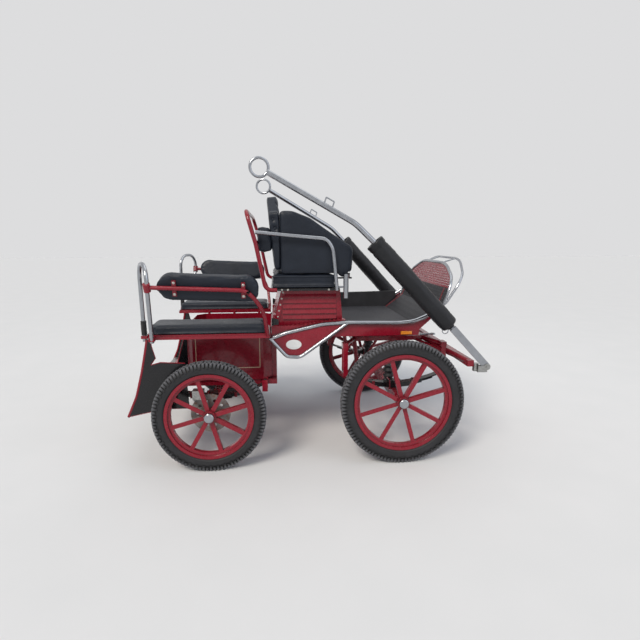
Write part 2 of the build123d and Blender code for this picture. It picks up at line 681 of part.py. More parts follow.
# Seat box: folded sheet with louvred sides, wider at the foot
def seat_box():
    z0 = FLOOR_TOP + SEAT_GAP
    outer = slab([(350.0, z0), (772.0, z0), (753.0, BOX_TOP), (403.0, BOX_TOP)], -BOX_HALF, BOX_HALF)
    hollow = [(356.0, z0 - 1), (766.0, z0 - 1), (748.0, BOX_TOP - 4), (409.0, BOX_TOP - 4)]
    inner = slab(hollow, -BOX_HALF + 4, BOX_HALF - 4)
    box = outer - inner
    for side in SIDES.values():
        for n in range(5):
            z = 800.0 + 32 * n
            lip = [(0, z), (side * 9, z), (0, z + 22)]
            wall = side * (BOX_HALF - 0.5)
            face = make_face(Polyline(*[(410.0, wall + y, zz) for y, zz in lip], close=True))
            box += extrude(face, amount=320, dir=(1, 0, 0))
    return box


save("seat_box", seat_box())
board_z = BOX_TOP + SEAT_GAP
board = block(345, 745, -BOARD_HALF, BOARD_HALF, board_z, board_z + BOARD_T)
board += block(745, 945, WING_Y0 + 8, WING_Y0 + WING_T - 8, board_z, board_z + BOARD_T)
for x in (470.0, 900.0):
    board += block(x, x + 30, WING_Y0 + 8, WING_Y0 + WING_T - 8, board_z + BOARD_T, WING_Z0 - SEAT_GAP)
save("seat_board", board)
SEAT_Z = board_z + BOARD_T + SEAT_GAP
seat_pad = block(SEAT_X0, SEAT_X1, -BOARD_HALF + 16, WING_Y0 - 8, SEAT_Z, SEAT_Z + SEAT_CUSHION_T)
save("driver_cushion", fillet(seat_pad.edges(), 20))


# Backrest: an arched pad that leans back
def backrest():
    y0 = -BOARD_HALF + 16
    y1 = WING_Y0 - 4
    rise = BACKREST_MID_Z - BACKREST_Z0
    ends = BACKREST_END_Z - BACKREST_Z0
    mid = (y0 + y1) / 2
    pts = [(y0, 0), (y1, 0), (y1, ends), (mid + 210, ends + 10), (mid + 130, rise)]
    pts += [(mid - 130, rise), (mid - 210, ends + 10), (y0, ends)]
    face = make_face(FilletPolyline(*pts, radius=30, close=True))
    face = Plane(origin=(0, 0, 0), x_dir=(0, 1, 0), z_dir=(1, 0, 0)) * face
    pad = extrude(face, amount=BACKREST_T / 2, both=True)
    return Pos(BACKREST_X, 0, BACKREST_Z0) * Rot(0, -BACKREST_LEAN, 0) * pad


backrest_body = backrest()
save("driver_backrest", backrest_body)


def wing():
    # A flat pad; the outer edge of its top is bevelled, which leaves room for the folded shaft.
    top = [(901.0, 1236.0), (575.0, WING_TOP), (405.0, WING_TOP)]
    pts = [(405.0, WING_Z0), (951.0, WING_Z0 + 2), (957.0, 1149.0)] + top
    path = FilletPolyline(*[(x, WING_Y0, z) for x, z in pts], radius=[14, 30, 40, 60, 60, 30], close=True)
    pad = extrude(make_face(path), amount=WING_T, dir=(0, 1, 0))
    for (xa, za), (xb, zb) in zip(top, top[1:]):
        edge = Plane(origin=(xa, WING_Y0 + WING_T, za), x_dir=(0, 1, 0), z_dir=(xb - xa, 0, zb - za))
        side = WING_BEVEL * math.sqrt(2)
        length = math.hypot(xb - xa, zb - za) + WING_BEVEL / 2
        pad -= extrude(edge * Rot(0, 0, 45) * Rectangle(side, side), amount=length)
    return pad


save("driver_wing", wing())

# Seat frame: a bent tube that rises behind the backrest, with a cross tube
LEG = [(380.0, 979.5), (316.0, 979.5), (263.0, 1245.0), (213.0, 1423.0)]


def seat_frame():
    y = SEAT_ARM_Y
    pts = [(x, -y, z) for x, z in LEG] + [(x, y, z) for x, z in reversed(LEG)]
    frame = tube(pts, SEAT_TUBE_R, [45, 400, 70, 70, 400, 45])
    frame += rod_y(263.0, 1250.0, -y, y, SEAT_TUBE_R - 1)
    return frame


save("seat_back_frame", seat_frame())
pad_x0 = 263.0 + SEAT_TUBE_R - 1 + SEAT_GAP
lumbar = block(pad_x0, 380, -400, 340, 1195, 1305)
behind = Box(1000, 1200, 1400)
behind = Pos(-BACKREST_T / 2 - SEAT_GAP + 500, 0, 300) * behind
lumbar -= Pos(BACKREST_X, 0, BACKREST_Z0) * Rot(0, -BACKREST_LEAN, 0) * behind
save("lumbar_pad", lumbar)


# Armrests of bent tube; the right one carries the whip socket
def armrest():
    y = BOARD_HALF + SEAT_GAP + ARM_R
    pts = [(263.0, y, 1306.0), (660.0, y, 1270.0), (700.0, y, 1225.0), (727.0, y, BOX_TOP + 2)]
    return tube(pts, ARM_R, [60, 120])


arm_left = armrest()
arm_right = mirror(armrest(), about=Plane.XZ)
whip_y = -(BOARD_HALF + SEAT_GAP + ARM_R)
socket = rod_z(WHIP_X, whip_y, 930, 1070, WHIP_R)
socket += Pos((727.0 + WHIP_X) / 2, whip_y, 995) * Rot(0, 90, 0) * Cylinder(6, WHIP_X - 727.0)
arm_right += socket
arm_right -= rod_z(WHIP_X, whip_y, 940, 1080, WHIP_BORE_R)
leg_cut = tube([(x, SEAT_ARM_Y, z) for x, z in LEG], SEAT_TUBE_R + SEAT_GAP, [45, 400])
arm_left -= leg_cut
arm_right -= mirror(leg_cut, about=Plane.XZ)
save("armrests", Compound(children=[arm_left, arm_right]))

# Turntable: the fixed ring and king pin, and below it the plate of the fore-carriage
ring_z0 = RAIL_TOP - RAIL_H - TABLE_T
ring = Pos(WHEELBASE, 0, ring_z0 + TABLE_T / 2) * Cylinder(TABLE_R, TABLE_T)
ring -= Pos(WHEELBASE, 0, ring_z0 + TABLE_T / 2) * Cylinder(TABLE_IN_R, 2 * TABLE_T)
ring += block(WHEELBASE - TABLE_IN_R - 5, WHEELBASE + TABLE_IN_R + 5, -40, 40, ring_z0, ring_z0 + TABLE_T)
ring += rod_z(WHEELBASE, 0, FORE_TOP - 40, ring_z0 + 1, KING_R)
save("turntable_ring", ring)


def fore_frame():
    z1 = FORE_TOP
    z0 = FORE_TOP - FORE_TUBE
    top = ring_z0 - SEAT_GAP
    body = Pos(WHEELBASE, 0, (z1 + top) / 2) * Cylinder(TABLE_R, top - z1)
    h = FORE_TUBE / 2
    for side in SIDES.values():
        y = side * FORE_HALF
        body += block(FORE_X0, FORE_X1, y - h, y + h, z0, z1)
    for x in (FORE_X0, WHEELBASE - 15, FORE_X1 - FORE_TUBE):
        body += block(x, x + FORE_TUBE, -FORE_HALF, FORE_HALF, z0, z1)
    eye_z = spring_eye_z(FRONT_SPRING_Z)
    for side in SIDES.values():
        for end in (-1, 1):
            x = WHEELBASE + end * SPRING_HALF
            # cross arm out to the spring hanger
            xa = FORE_X0 if end < 0 else FORE_X1 - FORE_TUBE
            body += tube([(xa + h, side * FORE_HALF, z1 - h), (x, side * SPRING_Y, z1 - h - 4)], 13)
            ya = side * SPRING_Y - SPRING_W / 2 - 7
            body += block(x - 16, x + 16, ya, ya + SPRING_W + 14, z0 - 4, z1 - 4)
            for gap in (-1, 1):
                y = side * SPRING_Y + gap * (SPRING_W / 2 + 4)
                body += block(x - 14, x + 14, y - 3, y + 3, eye_z - 18, z0)
        # struts from the rear cross tube down to the axle line, and the draught arms
        body += tube([(FORE_X0 + h, side * FORE_HALF, z0 + 4), (FORE_X0 + 40, side * FORE_HALF, 440.0)], 14)
        body += tube([(FORE_X0 + 40, side * FORE_HALF, 440.0), (WHEELBASE - 70, side * FORE_HALF, z0 + 6)], 9)
        y = side * FORE_HALF
        body += tube([(FORE_X1 - h, y, z0 + h), (BAR_X, side * (BAR_HALF - 30), BAR_Z + 6)], 14)
        body += tube([(FORE_X1 - 60, y, z0 + 6), (BAR_X, side * (BAR_HALF - 90), BAR_Z - 4)], 10)
    body += block(BAR_X - 18, BAR_X + 18, -BAR_HALF, BAR_HALF, BAR_Z - 18, BAR_Z + 18)
    body -= rod_z(WHEELBASE, 0, 600, 700, KING_R + RUN_FIT)
    return body


fore = fore_frame()
save("fore_frame", fore)
hook = Pos(FORE_X1 + 10, FORE_HALF, FORE_TOP + SEAT_GAP + 5) * Box(70, 16, 10)
hook += Pos(FORE_X1 + 56, FORE_HALF, FORE_TOP + SEAT_GAP + 5) * (Cylinder(18, 8) - Cylinder(12, 9))
save("trace_hooks", both(hook))


# Shaft brackets: a vertical barrel on the bar's end and a fork for the shaft's flat bar
def bracket():
    px, py, pz = PIVOT
    gap = SHAFT_BAR_T / 2 + 0.6
    x_barrel = BAR_X + 18 + 16
    body = rod_z(x_barrel, py - 28, pz - 30, pz + 14, 17)
    body += block(BAR_X, x_barrel, py - 42, py - 22, pz - 2, pz + 12)
    for side in (-1, 1):
        ya, yb = sorted((py + side * gap, py + side * (gap + 5)))
        body += block(x_barrel, px, ya, yb, pz - 30, pz + 8) + rod_y(px, pz, ya, yb, 18)
    body += block(x_barrel, x_barrel + 22, py - gap - 5, py + gap + 5, pz - 30, pz - 13)
    body += rod_y(px, pz, py - gap - 11, py + gap + 11, 9)
    body -= block(x_barrel - 60, BAR_X + 18 + SEAT_GAP, -BAR_HALF - 1, BAR_HALF + SEAT_GAP, pz - 60, pz + 60)
    return body


save("shaft_brackets", both(bracket()))


# Shafts: flat bar at the foot, bent tube, and a ring at the tip
def from_pivot(dx, dy, dz):
    return PIVOT[0] + dx, PIVOT[1] + dy, PIVOT[2] + dz


P_LOW = from_pivot(-210.0, -14.0, 225.0)
P_TOP = from_pivot(-661.0, -59.0, 708.0)
P_BEND = from_pivot(-756.0, -78.0, 802.0)
P_TIP = from_pivot(-1230.0, -154.0, 1076.0)
P_RING = from_pivot(-1273.0, -161.0, 1102.0)
SHAFT_BENDS = [300, 300, 260]


def between(a, b, t):
    return tuple(a[k] + (b[k] - a[k]) * t for k in range(3))


def shaft():
    px, py, pz = PIVOT
    length = (Vector(*P_LOW) - Vector(*PIVOT)).length
    angle = math.degrees(math.atan2(P_LOW[2] - pz, P_LOW[0] - px))
    bar = Pos(length / 2, 0, 0) * Box(length, SHAFT_BAR_T, SHAFT_BAR_W)
    bar += Rot(90, 0, 0) * Cylinder(SHAFT_BAR_W / 2, SHAFT_BAR_T)
    flat = Pos(*PIVOT) * Rot(0, -angle, 0) * bar
    join = between(PIVOT, P_LOW, 0.93)
    body = flat + tube([join, between(P_LOW, P_TOP, 0.05), P_TOP, P_BEND, P_TIP], SHAFT_R, SHAFT_BENDS)
    ring_plane = Plane(origin=P_RING, z_dir=(0.16, 0.987, 0))
    body += ring_plane * Torus(RING_R, RING_TUBE_R)
    # wire loops on top of the tube
    for t in (0.27, 0.36):
        c = between(P_BEND, P_TIP, t)
        body += tube([c, (c[0] + 14, c[1], c[2] + 42)], 4)
    a = between(P_BEND, P_TIP, 0.27)
    b = between(P_BEND, P_TIP, 0.36)
    body += tube([(a[0] + 14, a[1], a[2] + 42), (b[0] + 14, b[1], b[2] + 42)], 4)
    body -= rod_y(px, pz, py - 40, py + 40, 9 + RUN_FIT)
    return body


left_shaft = shaft()
sleeve_a = between(P_LOW, P_TOP, 0.03)
sleeve_b = between(P_LOW, P_TOP, 0.985)
sleeve = tube([sleeve_a, sleeve_b], SLEEVE_R)
sleeve = chamfer(sleeve.edges(), 12)
sleeve -= tube([between(P_LOW, P_TOP, -0.1), between(P_LOW, P_TOP, 1.1)], SHAFT_R + SEAT_GAP)
for side_name, side in SIDES.items():
    save(f"shaft_{side_name}", left_shaft if side > 0 else mirror(left_shaft, about=Plane.XZ))
    save(f"shaft_sleeve_{side_name}", sleeve if side > 0 else mirror(sleeve, about=Plane.XZ))
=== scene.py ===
import json
import math
import bpy
import bmesh
import numpy as np
from mathutils import Matrix, Vector, noise
from mathutils.bvhtree import BVHTree
from mathutils.geometry import delaunay_2d_cdt

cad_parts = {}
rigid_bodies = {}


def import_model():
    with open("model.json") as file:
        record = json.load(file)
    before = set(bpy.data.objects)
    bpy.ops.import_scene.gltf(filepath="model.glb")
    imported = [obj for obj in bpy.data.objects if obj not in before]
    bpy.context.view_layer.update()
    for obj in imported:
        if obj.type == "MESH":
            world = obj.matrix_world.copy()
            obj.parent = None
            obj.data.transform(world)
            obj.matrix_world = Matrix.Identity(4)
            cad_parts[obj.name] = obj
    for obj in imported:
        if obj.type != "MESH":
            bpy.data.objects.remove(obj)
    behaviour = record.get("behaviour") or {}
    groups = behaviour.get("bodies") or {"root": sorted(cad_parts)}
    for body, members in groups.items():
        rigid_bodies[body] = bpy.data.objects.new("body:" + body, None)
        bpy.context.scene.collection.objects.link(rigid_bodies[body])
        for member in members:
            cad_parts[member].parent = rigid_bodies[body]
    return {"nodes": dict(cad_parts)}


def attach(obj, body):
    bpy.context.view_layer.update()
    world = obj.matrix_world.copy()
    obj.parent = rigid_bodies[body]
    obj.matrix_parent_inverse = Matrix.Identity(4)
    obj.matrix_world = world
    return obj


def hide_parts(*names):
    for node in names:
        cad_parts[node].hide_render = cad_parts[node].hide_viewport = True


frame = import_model()
for stray in [o for o in bpy.data.objects if o.type in ("LIGHT", "CAMERA") or o.name == "Cube"]:
    bpy.data.objects.remove(stray)
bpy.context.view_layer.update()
scene = bpy.context.scene
scene.view_settings.view_transform = "Standard"

# THE STUDIO. The camera stands on the carriage's right, a little behind its middle and at
# chest height, as the photographer stood. A pale floor, two broad far lamps and a panel above.
MIDDLE = 561.797
SIDES = (("right", -1), ("left", 1))


def at(x, y, z):
    """A place in millimetres from the rear axle, the centre line and the ground, in metres of the frame."""
    return Vector(((x - MIDDLE) / 1000, y / 1000, z / 1000))


def around(count):
    """The angles of a full turn in equal steps."""
    return [2 * math.pi * n / count for n in range(count)]


def clamp(x):
    """x kept from 0 to 1."""
    return max(0.0, min(1.0, x))


def linear(code):
    """An sRGB hex colour as the linear colour that a shader takes."""
    parts = [int(code[k:k + 2], 16) / 255 for k in (1, 3, 5)]
    return [c / 12.92 if c <= 0.04045 else ((c + 0.055) / 1.055) ** 2.4 for c in parts] + [1.0]


def fill(tree, node, inputs):
    """Sets a node's inputs, each to a value or from the socket that feeds it."""
    for key, value in inputs.items():
        if isinstance(value, bpy.types.NodeSocket):
            tree.links.new(value, node.inputs[key])
        else:
            node.inputs[key].default_value = value


def add(tree, kind, inputs=None, **settings):
    """One node, with its own settings and its inputs."""
    node = tree.nodes.new(kind)
    for key, value in settings.items():
        setattr(node, key, value)
    fill(tree, node, inputs or {})
    return node


def begin(name):
    """A new surface: the material, its tree, its shader and the piece's own coordinates in metres."""
    made = bpy.data.materials.new(name)
    made.use_nodes = True
    tree = made.node_tree
    return made, tree, tree.nodes["Principled BSDF"], add(tree, "ShaderNodeTexCoord").outputs["Object"]


def cloud(tree, place, scale, detail=2.0, roughness=0.5, distortion=0.0):
    """Soft uneven patches from 0 to 1, about scale of them to the metre."""
    inputs = {"Scale": scale, "Detail": detail, "Roughness": roughness, "Distortion": distortion, "Vector": place}
    return add(tree, "ShaderNodeTexNoise", inputs).outputs[0]


def tint(tree, share, first, second):
    """One colour going over into a second; each is a hex colour or a socket."""
    ends = [linear(c) if isinstance(c, str) else c for c in (first, second)]
    return add(tree, "ShaderNodeMix", {0: share, 6: ends[0], 7: ends[1]}, data_type="RGBA").outputs[2]


def ramp(tree, source, low, high, to_low=0.0, to_high=1.0):
    """A value carried from one range to another."""
    inputs = {"From Min": low, "From Max": high, "To Min": to_low, "To Max": to_high, 0: source}
    return add(tree, "ShaderNodeMapRange", inputs).outputs[0]


def calc(tree, operation, *terms):
    """A sum on values and sockets."""
    return add(tree, "ShaderNodeMath", dict(enumerate(terms)), operation=operation).outputs[0]


def relief(tree, height, strength, depth):
    """A surface raised by a pattern, its depth in metres."""
    return add(tree, "ShaderNodeBump", {"Strength": strength, "Distance": depth, "Height": height}).outputs[0]


def mottled(name, first, second, patches, rough, metal=0.0, raised=None, coat_weight=0.0):
    """A plain surface whose colour drifts between two tones: patches is a cloud's scale, detail and
    roughness, rough one value or the ramp of the cloud, raised the strength and depth of its relief,
    with the scale and detail of a cloud of its own where it has one."""
    made, tree, shader, place = begin(name)
    drift = cloud(tree, place, *patches)
    inputs = {"Base Color": tint(tree, drift, first, second), "Metallic": metal, "Coat Weight": coat_weight}
    inputs["Roughness"] = rough if isinstance(rough, float) else ramp(tree, drift, *rough)
    if raised:
        height = cloud(tree, place, *raised[2:]) if raised[2:] else drift
        inputs["Normal"] = relief(tree, height, *raised[:2])
    fill(tree, shader, inputs)
    return made


lens = bpy.data.cameras.new("photo_view")
lens.lens = 26.499
lens.sensor_width = 36
camera = bpy.data.objects.new("photo_view", lens)
camera.location = (-0.1888, -3.1496, 1.2714)
camera.rotation_euler = (math.radians(90 - 9.8124), 0, math.radians(-5.3692))
scene.collection.objects.link(camera)
scene.camera = camera

world = bpy.data.worlds.new("studio_air")
scene.world = world
world.use_nodes = True
air = world.node_tree
ray = add(air, "ShaderNodeLightPath").outputs
seen = calc(air, "MAXIMUM", ray["Is Camera Ray"], ray["Is Glossy Ray"])
seen = calc(air, "MAXIMUM", seen, ray["Is Transmission Ray"])
soft_air = add(air, "ShaderNodeBackground", {"Color": linear("#E4EAF3"), "Strength": 0.6}).outputs[0]
pale_air = add(air, "ShaderNodeBackground", {"Color": linear("#DDDDDE"), "Strength": 1.0}).outputs[0]
both_airs = add(air, "ShaderNodeMixShader", {0: seen, 1: soft_air, 2: pale_air})
air.links.new(both_airs.outputs[0], air.nodes["World Output"].inputs["Surface"])

floor_mesh = bpy.data.meshes.new("studio_floor")
floor_mesh.from_pydata([(-30, -30, 0), (30, -30, 0), (30, 30, 0), (-30, 30, 0)], [], [(0, 1, 2, 3)])
floor = bpy.data.objects.new("studio_floor", floor_mesh)
scene.collection.objects.link(floor)
floor_mesh.materials.append(mottled("pale matt studio floor", "#D5D6D6", "#DBDBDB", (3.0, 4.0), 0.9))

# two broad far lamps light the floor evenly out to the backdrop, a panel above adds the sheen
for name, spot, width, strength, tone in (
    ("key_lamp", (-2.2, -3.4, 3.9), 22, 2.3, "#FFF7EC"),
    ("fill_lamp", (3.4, -2.6, 2.2), 50, 0.5, "#EAF0FF"),
):
    bulb = bpy.data.lights.new(name, "SUN")
    bulb.angle = math.radians(width)
    bulb.energy = strength
    bulb.color = linear(tone)[:3]
    lamp = bpy.data.objects.new(name, bulb)
    lamp.location = spot
    lamp.rotation_euler = Vector(spot).to_track_quat("Z", "Y").to_euler()
    scene.collection.objects.link(lamp)
panel = bpy.data.lights.new("overhead_panel", "AREA")
panel.size = 3.0
panel.energy = 26
lamp = bpy.data.objects.new("overhead_panel", panel)
lamp.location = (0.2, 0.6, 4.2)
scene.collection.objects.link(lamp)


# THE WELDED STEEL FRAME: square tube rails and cross tubes, the two axles, the fore-carriage
# and the sheet foot well. All of it is mild steel, welded, then sprayed red and baked.
def coat(surface, *nodes):
    """Gives CAD nodes a finish."""
    for name in nodes:
        frame["nodes"][name].material_slots[0].material = surface


def enamel(name, deep, bright, dusty, dust_share):
    """Baked gloss enamel on steel: a wet shine over a deep colour, slightly mottled, with a
    film of road dust on what faces up and painted shade in the corners."""
    made, tree, shader, place = begin(name)
    body = tint(tree, cloud(tree, place, 9.0, 3.0), deep, bright)
    # dust lies on level faces, in patches of some 40 mm
    normal = add(tree, "ShaderNodeNewGeometry").outputs["Normal"]
    facing = add(tree, "ShaderNodeSeparateXYZ", {0: normal}).outputs["Z"]
    patches = cloud(tree, place, 24.0, 6.0, 0.65)
    film = calc(tree, "MULTIPLY", ramp(tree, facing, 0.25, 1.0, 0.0, dust_share), patches)
    dusted = tint(tree, film, body, dusty)
    # painted shade darkens where pieces meet, within some 14 mm of the corner
    corner = add(tree, "ShaderNodeAmbientOcclusion", {"Distance": 0.014}, samples=4).outputs["AO"]
    with_painted_hollow_shade = tint(tree, ramp(tree, corner, 0.35, 0.85, 0.25), "#150A0B", dusted)
    # orange peel of the spray, 3 mm, which is coarser than the real 1 mm so that it shows
    edge = add(tree, "ShaderNodeBevel", {"Radius": 0.0012}, samples=4).outputs[0]
    peel = {"Strength": 0.05, "Distance": 0.001, "Height": cloud(tree, place, 330.0, 1.0), "Normal": edge}
    fill(tree, shader, {
        "Base Color": with_painted_hollow_shade,
        "Roughness": ramp(tree, patches, 0.3, 0.75, 0.2, 0.36),
        "Normal": add(tree, "ShaderNodeBump", peel).outputs[0],
        "IOR": 1.4,
        "Coat Weight": 0.25,
        "Coat Roughness": 0.05,
    })
    return made


red_enamel = enamel("baked red gloss enamel", "#700A1C", "#8C1127", "#A8766A", 0.08)
coat(red_enamel, "chassis_frame", "rear_axle", "front_axle", "fore_frame", "foot_well")


def piece(name, built, surface, body, smooth=None):
    """Links a finished bmesh or mesh as a piece that rides on a body; an edge sharper than smooth,
    in degrees, stays sharp."""
    if isinstance(built, bmesh.types.BMesh):
        mesh = bpy.data.meshes.new(name)
        built.to_mesh(mesh)
        built.free()
    else:
        mesh = built
    made = bpy.data.objects.new(name, mesh)
    scene.collection.objects.link(made)
    mesh.materials.clear()
    mesh.materials.append(surface)
    if smooth is not None:
        mesh.shade_smooth()
        mesh.set_sharp_from_angle(angle=math.radians(smooth))
    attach(made, body)
    return made


def outward(shape):
    """Turns all faces of a bmesh outwards."""
    bmesh.ops.recalc_face_normals(shape, faces=shape.faces)


def strips(shape, rings, wrap=False):
    """Adds the faces between rings of as many corners; wrap joins the last ring to the first."""
    count = len(rings[0])
    for low, high in list(zip(rings, rings[1:])) + ([(rings[-1], rings[0])] if wrap else []):
        for n in range(count):
            shape.faces.new((low[n], low[(n + 1) % count], high[(n + 1) % count], high[n]))


def slab(shape, outlines, backed=True):
    """Adds a plate between two outlines; where it isn't backed, it is open at the first."""
    rows = [[shape.verts.new(p) for p in outline] for outline in outlines]
    if backed:
        shape.faces.new(rows[0])
    shape.faces.new(reversed(rows[1]))
    strips(shape, rows)


def lay_bar(shape, line, radius, sides=12, closed=False):
    """Adds a round bar along a line of points; radius is one number or one for each point."""
    line = [Vector(p) for p in line]
    count = len(line)
    radii = radius if hasattr(radius, "__len__") else [radius] * count
    normal = None
    rings = []
    for k, spot in enumerate(line):
        before = line[k - 1] if k or closed else line[0]
        after = line[(k + 1) % count] if k < count - 1 or closed else line[-1]
        way = (after - before).normalized()
        if normal is None:
            normal = way.orthogonal().normalized()
        normal = (normal - way * normal.dot(way)).normalized()
        side = way.cross(normal)
        ring = [spot + radii[k] * (normal * math.cos(a) + side * math.sin(a)) for a in around(sides)]
        rings.append([shape.verts.new(p) for p in ring])
    strips(shape, rings, closed)
    if not closed:
        shape.faces.new(list(reversed(rings[0])))
        shape.faces.new(rings[-1])


def bent(points, radii, steps=7):
    """An open line of points with its inner corners turned to the given radii, both in millimetres."""
    made = [Vector(points[0])]
    for k, r in enumerate(radii, 1):
        here = Vector(points[k])
        back = (Vector(points[k - 1]) - here).normalized()
        ahead = (Vector(points[k + 1]) - here).normalized()
        half_angle = back.angle(ahead) / 2
        centre = here + (back + ahead).normalized() * (r / math.sin(half_angle))
        reach = r / math.tan(half_angle)
        a = (here + back * reach - centre).normalized()
        b = (here + ahead * reach - centre).normalized()
        made += [centre + a.slerp(b, n / steps) * r for n in range(steps + 1)]
    return made + [Vector(points[-1])]


# The foot well carries a hand-painted cream line around each side, 4 mm wide.
cream_line = mottled("hand painted cream coach line", "#C9AF8E", "#DCC7A8", (120.0, 3.0), 0.4)
LINE_HALF = 2
for side_name, side in SIDES:
    stripe = bmesh.new()
    corners = [(-118, 722), (-118, 486), (268, 486), (268, 722)]
    for (xa, za), (xb, zb) in zip(corners, corners[1:]):
        across = Vector((zb - za, 0, xa - xb)).normalized() * LINE_HALF
        a, b = Vector((xa, 0, za)), Vector((xb, 0, zb))
        along = (b - a).normalized() * LINE_HALF
        quad = [a - along - across, b + along - across, b + along + across, a - along + across]
        slab(stripe, [[at(p.x, side * depth, p.z) for p in quad] for depth in (299.6, 300.5)], False)
    outward(stripe)
    piece(f"foot_well_line_{side_name}", stripe, cream_line, "carriage")


# THE SPRINGS AND BRAKES: spring steel leaves in black enamel, brackets and calipers of zinc
# plated steel, and drilled discs, ground, with a thin bloom of rust.
black_enamel = enamel("baked black satin enamel", "#0D0D10", "#17171B", "#6F6A62", 0.3)
coat(black_enamel, "rear_springs", "front_springs")

zinc_plate, tree, shader, place = begin("dull zinc plated steel")
# the spangle of the zinc, 5 mm, gives uneven soft glints
spangle = add(tree, "ShaderNodeTexVoronoi", {"Scale": 200.0, "Vector": place}).outputs
fill(tree, shader, {
    "Base Color": tint(tree, spangle["Color"], "#8B8C8C", "#B4B4B1"),
    "Metallic": 1.0,
    "Roughness": ramp(tree, spangle["Distance"], 0.0, 1.0, 0.3, 0.5),
})
coat(zinc_plate, "brake_calipers", "shaft_brackets", "rear_step")


def from_axle(tree, place, axle):
    """Distance of a place from a wheel's axis, which runs along Y."""
    away = add(tree, "ShaderNodeVectorMath", {0: place, 1: axle}, operation="SUBTRACT").outputs[0]
    flat = add(tree, "ShaderNodeVectorMath", {0: away, 1: (1, 0, 1)}, operation="MULTIPLY").outputs[0]
    return add(tree, "ShaderNodeVectorMath", {0: flat}, operation="LENGTH").outputs["Value"]


ground_steel, tree, shader, place = begin("ground disc steel with rust bloom")
# fine rings from grinding about the hub, with brown patches where damp stood
rings = calc(tree, "SINE", calc(tree, "MULTIPLY", from_axle(tree, place, at(0, 0, 310)), 2400.0))
rusted = ramp(tree, cloud(tree, place, 60.0, 8.0, 0.7), 0.48, 0.66)
fill(tree, shader, {
    "Base Color": tint(tree, rusted, "#8D8A87", "#7A4A36"),
    "Metallic": 0.8,
    "Roughness": 0.42,
    "Normal": relief(tree, rings, 0.15, 0.0005),
})
coat(ground_steel, "brake_disc_right", "brake_disc_left")


# THE TURNTABLE: a flat ring of rolled steel under the tray that the fore-carriage turns
# against, greased and left bare, with dull and shiny smears.
greased_steel = mottled("bare rolled steel under old grease", "#55534F", "#8C8A85", (30.0, 6.0),
                        (0.0, 1.0, 0.25, 0.6), 0.9)
coat(greased_steel, "turntable_ring")


# THE SPRING FIXINGS: red painted U-bolts clamp each pile of leaves to its pad, with a nut under
# each leg, a bent strip holds the leaves together further out, and a moulded rubber bump stop
# stands on the front axle inside each spring.
LEAF_HALF, LEAF_RISE, LEAF_T = 300, 62, 7


def leaf_low(dx, n):
    """Height above a spring's pad of the underside of leaf n, dx from its middle, in millimetres."""
    bow = (LEAF_HALF ** 2 + LEAF_RISE ** 2) / (2 * LEAF_RISE)
    return 4 * LEAF_T + bow - math.sqrt((bow + LEAF_T * (n + 1)) ** 2 - dx ** 2)


for end, axle_x, pad_z, body in (("front", 1080, 380, "fore_carriage"), ("rear", 0, 335, "carriage")):
    for side_name, side in SIDES:
        clamps = bmesh.new()
        y = side * 420
        for x in (axle_x - 30, axle_x + 30):
            legs = [(x, y + dy, pad_z + dz) for dy, dz in ((-37, -6), (-37, 46), (37, 46), (37, -6))]
            lay_bar(clamps, [at(*p) for p in bent(legs, [12, 12], 4)], 0.0045, 8)
            for dy in (-37, 37):
                lay_bar(clamps, [at(x, y + dy, pad_z - 6), at(x, y + dy, pad_z + 3)], 0.0085, 6)
        for dx in (-128, 128):
            low = pad_z + leaf_low(dx, 2) - 2
            band = [(y - 28, low + 26), (y - 28, low), (y + 28, low), (y + 28, low + 26)]
            for shift in (-6, -2, 2, 6):
                lay_bar(clamps, [at(axle_x + dx + shift, *p) for p in band], 0.0026, 6)
        piece(f"spring_u_bolts_{end}_{side_name}", clamps, red_enamel, body, 40)

# bloomed grey where it is old, with the mould's fine grain
bump_rubber = mottled("moulded rubber of the bump stops", "#0D0D0F", "#26262A", (40.0, 5.0), 0.62,
                      raised=(0.2, 0.0006))
for side_name, side in SIDES:
    stop = bmesh.new()
    folds = range(34)
    radii = [30 + 5.5 * math.sin(2 * math.pi * n / 8.5) - (4 if n in (0, 33) else 0) for n in folds]
    lay_bar(stop, [at(1072, side * 330, 380 + 4.0 * n) for n in folds], [r / 1000 for r in radii], 24)
    piece(f"axle_bump_stop_{side_name}", stop, bump_rubber, "fore_carriage", 40)


# THE POLISHED STAINLESS TUBE: side tubes, dash and rein rails, hoops, armrests, shafts and
# hub caps. Cold drawn 304 tube, bent and polished, so it mirrors the sky above and ground below.
# Faint drawing marks, 2 mm apart, are coarser than real so that they show.
stainless = mottled("polished stainless tube", "#8F9298", "#B4B7BC", (35.0, 6.0, 0.6),
                    (0.3, 0.8, 0.12, 0.3), 1.0, (0.03, 0.0005, 500.0, 1.0))
coat(stainless, "side_tubes", "dash_rails", "grab_hoops", "armrests", "shaft_right", "shaft_left", "trace_hooks")


# THE WHEELS: rolled rims and folded sheet spokes welded to a turned hub, sprayed red with the
# rest. A pressed stainless cap covers each hub nut.
for end in ("front", "rear"):
    for side_name, _ in SIDES:
        coat(red_enamel, f"{end}_wheel_{side_name}")
        coat(stainless, f"{end}_hub_cap_{side_name}")


